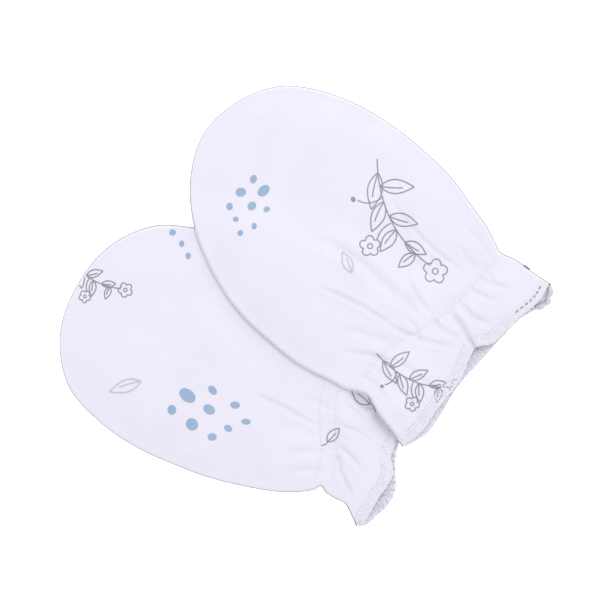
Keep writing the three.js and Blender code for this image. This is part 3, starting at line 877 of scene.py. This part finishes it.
def thread_material(name, light, dark):
    material, tree, shader = new_material(name)
    mottled(tree, shader, light, dark, SPUN_MOTTLE)
    round_it, walked = cloth_place(tree)
    lay = sum_of(tree, "MULTIPLY_ADD", walked, TWISTS, round_it)
    twist = sum_of(tree, "SINE", sum_of(tree, "MULTIPLY", lay, 2 * np.pi))
    raised(tree, shader, twist, TWIST_BUMP)
    shader.inputs["Roughness"].default_value = 0.6
    shader.inputs["Sheen Weight"].default_value = 0.15
    return material


overlock_thread = thread_material("overlock_thread", (0.83, 0.815, 0.90), (0.73, 0.72, 0.80))
raw_hem_thread = thread_material("raw_hem_thread", (0.81, 0.795, 0.885), (0.76, 0.75, 0.83))
# Darker looper thread: painted shade between the ribs of the lower back's hem
looper_thread_painted_shade = thread_material(
    "looper_thread_painted_shade", (0.64, 0.63, 0.71), (0.58, 0.57, 0.645)
)
# The rolled corner's darker tone is painted shade under the roll
rolled_edge_painted_shade = thread_material("rolled_edge_painted_shade", (0.64, 0.625, 0.71), (0.50, 0.49, 0.57))
needle_thread = thread_material("needle_thread", (0.80, 0.79, 0.87), (0.68, 0.67, 0.74))
# Dark thread that is painted shade, for the upper front's corner stitches and the tack
shaded_thread = thread_material("shaded_thread", (0.24, 0.23, 0.28), (0.16, 0.15, 0.19))
# Grey seam thread: painted shade of the seam's groove
seam_thread_painted_shade = thread_material("seam_thread_painted_shade", (0.36, 0.355, 0.40), (0.30, 0.295, 0.34))

# %% Lines along a hem
BAND_DEEP = 3.0
UNEVEN = 0.3
CLEAR_OF_SIDE = 0.4
# Spacing of the places on a row of short stitches
FINE_STEP = 0.2
# Points in one leg of the zigzag, and how far it reaches over the raw edge
LEG_POINTS = 8
OVER_EDGE = 0.15
# Hem, pitch of the zigzag and radius of its thread, on a front and on a back
FRONT_STITCH = (FRONT_HEM, 0.9, 0.12)
BACK_STITCH = (BACK_HEM, 2.1, 0.19)
LOWER_THREAD = 0.2
THREAD_SIDES = 5
OFF_TABLE = 0.01
# Heights of the zigzag over and under the cloth, and its dip at the edge
RIB_OVER, RIB_UNDER, EDGE_DIP = 0.04, 0.02, 0.25
# Its unevenness in height: how much, over how many points, and how far a point may be out of step
BULGE, BULGE_POINTS, BULGE_CHANCE = 0.025, 3.7, 0.3
# The chain: how far out of the edge and how low it lies, its wave, points in a link and its radius
CHAIN_OUT, CHAIN_UNDER, CHAIN_WAVE, LINK_POINTS, CHAIN_THREAD = 0.12, 0.3, 0.09, 8, 0.2


def hem_line(mitten, hem, pitch):
    ends = mitten["seam"][[0, -1], ACROSS]
    across = np.linspace(ends[0] + CLEAR_OF_SIDE, ends[1] - CLEAR_OF_SIDE, 400)
    line = np.column_stack([read_table(mitten["cuff"], hem, across), across])
    line = evenly(line, int(steps_of(line).sum() / pitch) + 1)
    return line, to_the_right(line)


def on_cloth(mitten, places, is_front, over):
    if is_front:
        top = front_top(mitten, places)
    else:
        edge, _ = nearest(mitten["seam"], places)
        top = underside(mitten, places) + UNDERSIDE + LOW_SEAM * edge_round(edge) + WALL
    return np.column_stack([to_pair(mitten, places), top + over])


# Nothing sewn on the hidden face goes through the table, so each thread has a least height
def under_cloth(mitten, places, under, lowest=0.0):
    height = np.maximum(back_face(mitten, places) - under, lowest)
    return np.column_stack([to_pair(mitten, places), height])


def looper_path(line, inward, draw):
    wobble = draw.uniform(-UNEVEN, UNEVEN, (len(line), 2))
    deep = np.where(np.arange(len(line)) % 2 == 0, -OVER_EDGE, BAND_DEEP)[:, None]
    corners = line + inward * deep + wobble
    t = np.linspace(0, 1, LEG_POINTS, endpoint=False)[:, None]
    legs = [a + (b - a) * t for a, b in zip(corners[:-1], corners[1:])]
    return np.vstack([*legs, corners[-1:]]), deep


# The lower looper runs half a stitch beside the upper one, on both faces of the cloth
def lower_looper(mitten):
    hem, pitch, _ = BACK_STITCH
    line, inward = hem_line(mitten, hem, pitch / 2)
    middle, inward = (line[1:] + line[:-1]) / 2, (inward[1:] + inward[:-1]) / 2
    path, _ = looper_path(middle, inward, np.random.default_rng(6))
    least = LOWER_THREAD + OFF_TABLE
    return joined([
        tube(on_cloth(mitten, path, False, 0.0), LOWER_THREAD, THREAD_SIDES),
        tube(under_cloth(mitten, path, 0.0, least), LOWER_THREAD, THREAD_SIDES),
    ])


# A zigzag that is a little uneven in height and dips over the edge, with a chain along the edge
def hem_threads(mitten, is_front):
    hem, pitch, thread = FRONT_STITCH if is_front else BACK_STITCH
    line, inward = hem_line(mitten, hem, pitch / 2)
    draw = np.random.default_rng(5)
    path, deep = looper_path(line, inward, draw)
    out_of_step = draw.uniform(0, 6, len(path)) * BULGE_CHANCE
    bulge = BULGE * np.sin(np.arange(len(path)) * 2 * np.pi / BULGE_POINTS + out_of_step)
    zigzag = on_cloth(mitten, path, is_front, (0.0 if is_front else RIB_OVER) + bulge)
    past_edge = np.repeat(deep[:, 0] < 0, LEG_POINTS)[: len(path)]
    corner = np.arange(len(past_edge)) % LEG_POINTS == 0
    zigzag[: len(past_edge), 2] -= EDGE_DIP * past_edge * corner
    parts = [tube(zigzag, thread, THREAD_SIDES)]
    if not is_front:
        hidden = under_cloth(mitten, path, RIB_UNDER + bulge, thread + OFF_TABLE)
        parts.append(tube(hidden, thread, THREAD_SIDES))
    chain_at = evenly(line - inward * CHAIN_OUT, len(line) * 4)
    chain = on_cloth(mitten, chain_at, is_front, -CHAIN_UNDER)
    chain[:, 2] += CHAIN_WAVE * np.sin(np.arange(len(chain)) * 2 * np.pi / LINK_POINTS)
    return joined([*parts, tube(chain, CHAIN_THREAD, 6)])


# %% Rows of short stitches
# Length, pitch and radius
NEEDLE_DASH = (0.9, 1.3, 0.12)
LOOPER_DOT = (0.4, 0.9, 0.12)
SHADED_STITCH = (1.0, 1.8, 0.17)
ELASTIC_DASH = (0.5, 1.1, 0.09)
# Heights over and under the cloth, and least heights of the hidden rows
NEEDLE_OVER, DOT_OVER, SHADED_OVER, ELASTIC_OVER = 0.08, 0.06, 0.1, 0.02
NEEDLE_UNDER, ELASTIC_UNDER = 0.05, 0.02
NEEDLE_LEAST, ELASTIC_LEAST = 0.19, 0.15
# A dash swells in its middle and dives into the cloth at its ends, by these shares of its radius
DASH_SWELL, DASH_DIVE = 0.5, 1.6


def dashes(laid, long, pitch, radius, facing=1):
    gap = steps_of(laid).sum() / (len(laid) - 1)
    step, reach = int(round(pitch / gap)), int(round(long / gap))
    parts = []
    for start in range(2, len(laid) - reach - 2, step):
        path = laid[start : start + reach + 1].copy()
        arch = np.sin(np.linspace(0, np.pi, len(path)))
        path[:, 2] += facing * DASH_SWELL * radius * arch
        path[[0, -1], 2] -= facing * DASH_DIVE * radius
        parts.append(tube(path, radius, THREAD_SIDES))
    return joined(parts)


# %% Threads of the four hems
# Past this place across, the upper front's needle stitches are larger and painted dark, as painted shade
SHADED_FROM = {"upper_front": 20}
NO_SHADE = 99
SHADED_DEEP = 1.7
DOT_ROWS = (0.8, 1.9)
light_loops = overlock_thread, needle_thread
# The lower back's darker looper thread is painted shade between its ribs
loops_of = {"lower_back": (raw_hem_thread, looper_thread_painted_shade)}
threads = {}
for mitten in (lower, upper):
    for side, is_front in (("back", False), ("front", True)):
        name = f"{mitten['name']}_{side}"
        overlock = hem_threads(mitten, is_front)
        loops, under_loops = loops_of.get(name, light_loops)
        threads[name] = [make_piece(f"{name}_overlock", *overlock, loops)]
        line, inward = hem_line(mitten, FRONT_HEM if is_front else BACK_HEM, FINE_STEP)
        rows = line + inward * BAND_DEEP
        shaded = rows[:, ACROSS] > SHADED_FROM.get(name, NO_SHADE)
        laid = on_cloth(mitten, rows[~shaded], is_front, NEEDLE_OVER)
        parts = [dashes(laid, *NEEDLE_DASH)]
        for deep in DOT_ROWS:
            laid = on_cloth(mitten, (line + inward * deep)[~shaded], is_front, DOT_OVER)
            parts.append(dashes(laid, *LOOPER_DOT))
        if not is_front:
            hidden = under_cloth(mitten, rows, NEEDLE_UNDER, NEEDLE_LEAST)
            parts.append(dashes(hidden, *NEEDLE_DASH, facing=-1))
            looper = lower_looper(mitten)
            threads[name].append(make_piece(f"{name}_lower_looper", *looper, under_loops))
        threads[name].append(make_piece(f"{name}_needle_row", *joined(parts), needle_thread))
        if shaded.any():
            places = (line + inward * SHADED_DEEP)[shaded]
            row = dashes(on_cloth(mitten, places, is_front, SHADED_OVER), *SHADED_STITCH)
            threads[name].append(make_piece(f"{name}_painted_shade_stitches", *row, shaded_thread))
        faces = sum(len(piece.data.polygons) for piece in threads[name])
        print(name, "hem threads:", faces, "faces")

# %% [markdown]
# ## Stitches at the elastic
# The elastic is sewn to the inside, one row on the upper mitten and two on the lower one, and outside
# only short dashes show in the bottom of its channel. The same dashes run on the hidden face. They are
# made as the needle rows are, because a bump could not catch the light on a thread of a tenth of a
# millimetre.

# %% Stitches that hold the elastic
elastic_thread = thread_material("elastic_thread", (0.67, 0.66, 0.73), (0.60, 0.59, 0.66))
ELASTIC_CLEAR = 1.5
ELASTIC_POINTS = 420
for mitten in (lower, upper):
    seam_ends = [seam_at_station(mitten, FRONT_HEM, 0, side) for side in (-1, 1)]
    across = np.linspace(seam_ends[0] + ELASTIC_CLEAR, seam_ends[1] - ELASTIC_CLEAR, ELASTIC_POINTS)
    rows, hidden_rows = [], []
    for offset in mitten["elastic_lines"]:
        line = np.column_stack([read_table(mitten["cuff"], ELASTIC, across) + offset, across])
        line = evenly(line, ELASTIC_POINTS)
        rows.append(dashes(on_cloth(mitten, line, True, ELASTIC_OVER), *ELASTIC_DASH))
        hidden = under_cloth(mitten, line, ELASTIC_UNDER, ELASTIC_LEAST)
        hidden_rows.append(dashes(hidden, *ELASTIC_DASH, facing=-1))
    for side, stitches in (("front", rows), ("back", hidden_rows)):
        name = f"{mitten['name']}_{side}"
        piece = make_piece(f"{name}_elastic_stitches", *joined(stitches), elastic_thread)
        threads[name].append(piece)
        print(name, "elastic stitches:", len(stitches), "row(s)")

# %% [markdown]
# ## Seam thread, tack and rolled corner
# Front and back are sewn inside out and turned, so only a line of thread shows between them, sunk in
# the round edge. It is a tube along the seam, thicker towards the right end of the cuff, where it stands
# prouder. On the table its thread is painted grey, as painted shade in the seam's groove, and on the
# other mitten it takes the light needle thread. A bar tack of wrapped thread, painted dark as shade,
# ends the upper mitten's elastic at its side seam. Near it a corner of the back's hem, which nothing
# holds down, rolls up, and a tube of uneven thickness shows that, in a darker tone that is painted
# shade.

# %% Thread in the seam
# Radius from the left end of the cuff round to the right
SEAM_THREAD = {"lower": (0.27, 0.29), "upper": (0.19, 0.32)}
SEAM_THREAD_IN = 0.06
# Height of a stitch on the thread, points in a stitch and on the whole seam
SEAM_STITCH, STITCH_POINTS = 0.05, 6
SEAM_POINTS = 900


def seam_path(mitten, inward_by):
    seam = evenly(mitten["seam"], SEAM_POINTS)
    places = seam - inward_by * to_the_right(seam)
    level = underside(mitten, places) + UNDERSIDE + LOW_SEAM * EDGE_RADIUS + SEAM_GAP / 2
    level += SEAM_STITCH * np.sin(np.arange(SEAM_POINTS) * 2 * np.pi / STITCH_POINTS)
    return places, np.column_stack([to_pair(mitten, places), level])


def runs_of(chosen):
    ends = np.flatnonzero(np.diff(np.concatenate([[0], chosen.astype(int), [0]])))
    return [slice(start, stop) for start, stop in zip(ends[::2], ends[1::2]) if stop - start > 3]


for mitten in (lower, upper):
    name = f"{mitten['name']}_front"
    _, path = seam_path(mitten, SEAM_THREAD_IN)
    radius = np.linspace(*SEAM_THREAD[mitten["name"]], len(path))
    on_other = (depth_inside(lower["outline"], path[:, :2]) > 0) & (mitten is upper)
    # On the table the seam thread is painted grey as the shade in its groove; on the other mitten it is
    # the light needle thread
    kinds = [
        ("seam_thread_painted_shade", ~on_other, seam_thread_painted_shade),
        ("light_seam_thread_painted_shade", on_other, needle_thread),
    ]
    for kind, chosen, finish in kinds:
        stretches = [tube(path[run], radius[run]) for run in runs_of(chosen)]
        if stretches:
            piece = make_piece(f"{mitten['name']}_{kind}", *joined(stretches), finish)
            threads[name].append(piece)
    print(name, "seam thread is", round(steps_of(path).sum()), "mm long")

# %% Tack at the end of the elastic
TACK_AT, TACK_LONG = (-9.9, 32.5), 2.2
TACK_OUT, TACK_UP, TACK_THREAD = 0.15, 0.5, 0.26
TACK_WRAPS, WRAP_HIGH, WRAP_WIDE = 6, 0.25, 0.2
places, path = seam_path(upper, -TACK_OUT)
middle = np.argmin(np.linalg.norm(places - TACK_AT, axis=1))
walked = walked_along(path)
bar = path[np.abs(walked - walked[middle]) < TACK_LONG / 2]
share = np.linspace(0, 1, 60)
on_bar = np.linspace(0, 1, len(bar))
core = np.column_stack([np.interp(share, on_bar, bar[:, k]) for k in range(3)])
wound = share * 2 * np.pi * TACK_WRAPS
core[:, 2] += WRAP_HIGH * np.sin(wound) + TACK_UP
core[:, 0] += WRAP_WIDE * np.cos(wound)
# The tack's dark thread is painted shade
tack = make_piece("upper_tack", *tube(core, TACK_THREAD), shaded_thread)
threads["upper_front"].append(tack)
print("tack:", TACK_LONG, "mm long with", TACK_WRAPS, "wraps")

# %% The back's hem rolls up in one corner
ROLL_FROM = 26.0
ROLL_LOBES = 3
# The roll's height, its radius between and on its lobes, and how far in from the hem it lies there
ROLL_OVER = 0.35
ROLL_RADIUS = (0.5, 1.0)
ROLL_IN = (0.8, 0.2)
line, inward = hem_line(upper, BACK_HEM, FINE_STEP)
corner = line[:, ACROSS] > ROLL_FROM
turned = np.linspace(0, ROLL_LOBES * np.pi, corner.sum())
lobes = np.abs(np.sin(turned))[:, None]
rolled = on_cloth(upper, line[corner] + inward[corner] * mix(*ROLL_IN, lobes), False, ROLL_OVER)
roll = tube(rolled, mix(*ROLL_RADIUS, lobes[:, 0]), 10)
# The roll's darker tone is painted shade
threads["upper_back"].append(make_piece("upper_rolled_corner", *roll, rolled_edge_painted_shade))
print("rolled corner:", ROLL_LOBES, "lobes")

# %% [markdown]
# ## The print
# The cloth carries a sparse print: thin grey line drawings, a few pale blue outlines and clusters of
# blue spots. The drawings here are plain leafy sprays with small blossoms, made from curves given by
# their own few sizes. Ink on knit has no thickness that an eye can see, so each line is a ribbon that
# floats six hundredths of a millimetre over the cloth, and it keeps the jersey's stitches as its bump.
# An image mapped to the cloth would blur up close, and ribbons stay sharp at any distance.

# %% Ribbons and spots of ink
INK_OVER = 0.06
INK_STEP = 0.3
EDGE_CLEAR = 0.5
HEM_CLEAR = 0.2
SPOT_SIDES = 28
SPOT_RINGS = (0.35, 0.7, 1.0)


def ink_height(mitten, places, is_front):
    if is_front:
        return on_cloth(mitten, places, True, INK_OVER)
    return under_cloth(mitten, places, INK_OVER)


def printable(mitten, places, is_front):
    hem = read_table(mitten["cuff"], FRONT_HEM if is_front else BACK_HEM, places[:, ACROSS])
    seam = mitten["seam"]
    ring = np.vstack([seam, seam[[-1, 0]] - (30, 0)])
    clear = EDGE_CLEAR if is_front else EDGE_RADIUS
    return (depth_inside(ring, places) > clear) & (places[:, ALONG] > hem + HEM_CLEAR)


def ribbons(mitten, strokes, width, is_front):
    parts = []
    for stroke in strokes:
        line = evenly(stroke, max(int(steps_of(stroke).sum() / INK_STEP), 3))
        beside = to_the_right(line) * width / 2
        inked = printable(mitten, line, is_front)
        kept = np.flatnonzero(inked[:-1] & inked[1:])
        if len(kept) == 0:
            continue
        used = np.union1d(kept, kept + 1)
        both = np.stack([line - beside, line + beside], axis=1)[used].reshape(-1, 2)
        left = 2 * np.searchsorted(used, kept)
        parts.append((both, np.column_stack([left, left + 1, left + 3, left + 2]).tolist(), both))
    places, faces, _ = joined(parts)
    return ink_height(mitten, places, is_front), faces, places


def spots(mitten, discs, is_front):
    parts = []
    turn = np.linspace(0, 2 * np.pi, SPOT_SIDES, endpoint=False)
    k = np.arange(SPOT_SIDES)
    after = (k + 1) % SPOT_SIDES
    # A fan round the middle, then two bands of quads
    faces = np.column_stack([0 * k, 1 + k, 1 + after]).tolist()
    for start in (1, 1 + SPOT_SIDES):
        outer = start + SPOT_SIDES
        faces += np.column_stack([start + k, outer + k, outer + after, start + after]).tolist()
    for along, across, long, wide, lean in discs:
        way = np.array([np.cos(np.radians(lean)), np.sin(np.radians(lean))])
        beside = np.array([-way[1], way[0]])
        oval = np.outer(np.cos(turn) * long / 2, way) + np.outer(np.sin(turn) * wide / 2, beside)
        rings = [share * oval for share in SPOT_RINGS]
        places = np.vstack([np.zeros((1, 2)), *rings]) + (along, across)
        if printable(mitten, places, is_front).all():
            parts.append((places, faces, places))
    if not parts:
        return None
    places, faces, _ = joined(parts)
    return ink_height(mitten, places, is_front), faces, places


# %% Drawings made of plain curves
def placed(points, centre, turn, size):
    angle = np.radians(turn)
    spin = np.array([[np.cos(angle), np.sin(angle)], [-np.sin(angle), np.cos(angle)]])
    return np.asarray(points, float) @ spin * size + centre


def leaf(base, heading, long, wide):
    t = np.linspace(0, 1, 25)
    side = wide / 2 * np.sin(np.pi * t**0.85)
    half = np.column_stack([t * long, side])
    outline = np.vstack([half, half[::-1] * (1, -1)])
    rib = np.column_stack([t[:17] * long, 0.04 * long * np.sin(np.pi * t[:17])])
    return [placed(outline, base, heading, 1), placed(rib, base, heading, 1)]


def blossom(centre, radius, petals, turn):
    t = np.linspace(0, 2 * np.pi, 97)
    reach = radius * (0.62 + 0.38 * np.abs(np.cos((t * petals + np.radians(turn)) / 2)) ** 0.7)
    outline = np.column_stack([np.cos(t), np.sin(t)]) * reach[:, None]
    heart = np.column_stack([np.cos(t), np.sin(t)]) * radius * 0.24
    return [outline + centre, heart + centre]


def spray(centre, turn, size, leaves=7):
    stem = curve_over((-0.5, 0.02), (0.0, 0.12), (0.46, -0.02), 40)
    strokes = [stem]
    for k in range(leaves):
        at = int(4 + k * 34 / leaves)
        ahead = stem[at + 1] - stem[at]
        lean = np.degrees(np.arctan2(ahead[1], ahead[0])) + (52 if k % 2 else -52)
        strokes += leaf(stem[at], -lean, 0.30 - 0.02 * k, 0.12 - 0.006 * k)
    strokes += blossom((0.52, -0.04), 0.1, 5, 20)
    strokes += blossom((0.12, 0.36), 0.085, 5, 70)
    strokes.append(curve_over((0.02, 0.13), (0.04, 0.22), (0.1, 0.29)))
    strokes.append(curve_over((-0.2, 0.1), (-0.2, 0.22), (-0.26, 0.3)))
    berry = placed([(-0.28, 0.33)], centre, turn, size)[0]
    berry_long = 0.045 * size
    berries = [(*berry, berry_long, berry_long * 0.85, turn)]
    return [placed(stroke, centre, turn, size) for stroke in strokes], berries


def single_leaf(centre, turn, size):
    stalk = curve_over((-0.62, -0.1), (-0.4, 0.02), (-0.2, 0), 9)
    strokes = [stalk, *leaf(np.array([-0.3, 0.0]), 0, 0.85, 0.42)]
    return [placed(stroke, centre, turn, size) for stroke in strokes], []


def sprig(centre, turn, size):
    stem = curve_over((-0.5, 0), (0, 0.08), (0.3, 0), 20)
    strokes = [stem, *leaf(stem[5], 50, 0.34, 0.15), *leaf(stem[9], -55, 0.32, 0.14)]
    strokes += blossom((0.42, 0), 0.14, 5, 0)
    return [placed(stroke, centre, turn, size) for stroke in strokes], []


# %% Layout of the print
# Each drawing: what it is, its middle as (along, across), its turn and its size
upper_front_drawings = [(spray, (27, 17), 200, 37), (spray, (-9, -13), 160, 26)]
lower_front_drawings = [
    (spray, (86, 14), 200, 22), (single_leaf, (-2.6, -0.9), 22, 8.5),
    (single_leaf, (3.5, -14.5), 115, 6.5), (sprig, (19, 21), 300, 15),
]
back_drawings = [(spray, (52, -12), 30, 34), (sprig, (16, 16), 210, 16), (sprig, (70, 20), 100, 13)]
# Spots: along, across, length, width and lean, each a plain ellipse. On the fronts these five numbers
# were measured in the photograph, and the backs are a guess
upper_front_spots = [
    (66.0, -8.2, 2.6, 2.0, 63), (61.4, -8.4, 4.1, 2.8, 91), (65.8, -13.6, 3.1, 2.7, 128),
    (60.5, -14.1, 2.8, 2.4, 86), (65.0, -19.0, 2.3, 1.9, 38), (56.7, -11.6, 2.0, 1.6, 111),
    (60.9, -20.3, 1.7, 1.5, 134), (55.6, -17.8, 2.0, 1.5, 45), (57.0, -22.2, 1.8, 1.5, 92),
]
lower_front_spots = [
    (48.4, -14.3, 5.4, 3.7, 22), (41.6, -10.7, 3.1, 2.1, 33), (51.7, -19.7, 2.9, 2.6, 71),
    (41.0, -16.5, 3.7, 2.8, 17), (33.9, -13.1, 2.9, 2.1, 170), (44.7, -22.2, 3.8, 3.5, 33),
    (29.4, -17.0, 2.8, 1.7, 168), (34.0, -20.4, 2.6, 1.9, 15), (37.9, -24.2, 2.7, 2.2, 164),
    (66.3, 31.4, 2.0, 1.9, 165), (62.7, 28.9, 2.0, 1.5, 80), (59.8, 25.9, 2.0, 1.6, 74),
]
back_spots = [
    (30, -18, 3.9, 2.7, 20), (24, -22, 2.8, 2.2, 70), (27, -11, 2.9, 2.0, 140), (34, -24, 2.2, 1.9, 0),
    (21, -15, 2.3, 2.0, 90), (36, -16, 2.5, 1.8, 40),
]
# Pale blue leaves: along, across, heading, length and width
upper_front_leaves = [(25.5, -6.5, 20, 6.8, 2.9)]
lower_front_leaves = [(63, -14, -35, 10, 3.6)]
back_leaves = [(44, 22, 60, 8, 3.2)]


print("spots on the fronts:", len(upper_front_spots), "and", len(lower_front_spots))

# %% Print on each panel
# Roughness and sheen of the inks
INK_FINISH = (0.9, 0.1)
grey_ink = knit_material("grey_ink", (0.33, 0.30, 0.35), (0.26, 0.23, 0.28), *INK_FINISH)
blue_ink = knit_material("blue_ink", (0.312, 0.415, 0.580), (0.275, 0.376, 0.552), *INK_FINISH)
pale_blue_ink = knit_material(
    "pale_blue_ink", (0.51, 0.54, 0.64), (0.455, 0.495, 0.61), *INK_FINISH
)
LINE_WIDTH = 0.36
OUTLINE_WIDTH = 0.42

layout = {
    "lower_front": (lower, lower_front_drawings, lower_front_spots, lower_front_leaves),
    "upper_front": (upper, upper_front_drawings, upper_front_spots, upper_front_leaves),
    "lower_back": (lower, back_drawings, back_spots, back_leaves),
    "upper_back": (upper, back_drawings, back_spots, back_leaves),
}
for name, (mitten, drawings, blue_spots, pale_leaves) in layout.items():
    is_front = name.endswith("front")
    lines, grey_spots = [], []
    for draw, middle, turn, size in drawings:
        strokes, berries = draw(np.array(middle, float), turn, size)
        lines += strokes
        grey_spots += berries
    outlines = []
    for along, across, heading, long, wide in pale_leaves:
        outlines += leaf(np.array([along, across], float), heading, long, wide)
    printed = [
        ("drawings", ribbons(mitten, lines, LINE_WIDTH, is_front), grey_ink),
        ("berries", spots(mitten, grey_spots, is_front), grey_ink),
        ("spots", spots(mitten, blue_spots, is_front), blue_ink),
        ("pale_leaves", ribbons(mitten, outlines, OUTLINE_WIDTH, is_front), pale_blue_ink),
    ]
    [
        make_piece(f"{name}_{kind}", *shape, finish) for kind, shape, finish in printed if shape
    ]
    print(name, "print:", len(lines), "lines,", len(blue_spots), "spots")

# %% [markdown]
# ## Cut flat
# Each panel is a sheet of cloth, which was cut flat before it was sewn.

# %% [markdown]
# ## Table and light
# The photograph has a bright, even background and gentle shade in the folds, which falls towards its
# lower left. So the world gives most of the light from all round, and one large soft panel stands
# beyond the picture's top edge, a little to the right. The table is nearly white and glows a little, so
# that it reads as white, while the cloth, a shade darker, keeps its folds.

# %% Table
TABLE_GLOW = 0.45
bpy.ops.mesh.primitive_plane_add(size=4)
table = bpy.context.object
table.name = "table"
table_material, _, table_shader = new_material("white_table")
table_shader.inputs["Base Color"].default_value = (0.96, 0.96, 0.96, 1)
table_shader.inputs["Roughness"].default_value = 0.9
table_shader.inputs["Specular IOR Level"].default_value = 0.1
table_shader.inputs["Emission Color"].default_value = (1, 1, 1, 1)
table_shader.inputs["Emission Strength"].default_value = TABLE_GLOW
table.data.materials.append(table_material)

# %% Light
FILL = 1.0
KEY_WATTS = 6.2
KEY_PLACE = (0.26, 0.74, 1.27)
KEY_SIZE = 0.6
world = bpy.data.worlds.new("studio")
world.use_nodes = True
world.node_tree.nodes["Background"].inputs["Color"].default_value = (1, 1, 1, 1)
world.node_tree.nodes["Background"].inputs["Strength"].default_value = FILL
bpy.context.scene.world = world

key_data = bpy.data.lights.new("soft_panel", "AREA")
key_data.energy = KEY_WATTS
key_data.shape = "SQUARE"
key_data.size = KEY_SIZE
key = bpy.data.objects.new("soft_panel", key_data)
key.location = KEY_PLACE
key.rotation_euler = (-key.location).to_track_quat("-Z", "Y").to_euler()
bpy.context.scene.collection.objects.link(key)
bpy.context.scene.view_settings.view_transform = "Standard"
print("key light stands", [round(value, 2) for value in key.location], "m from the pair")
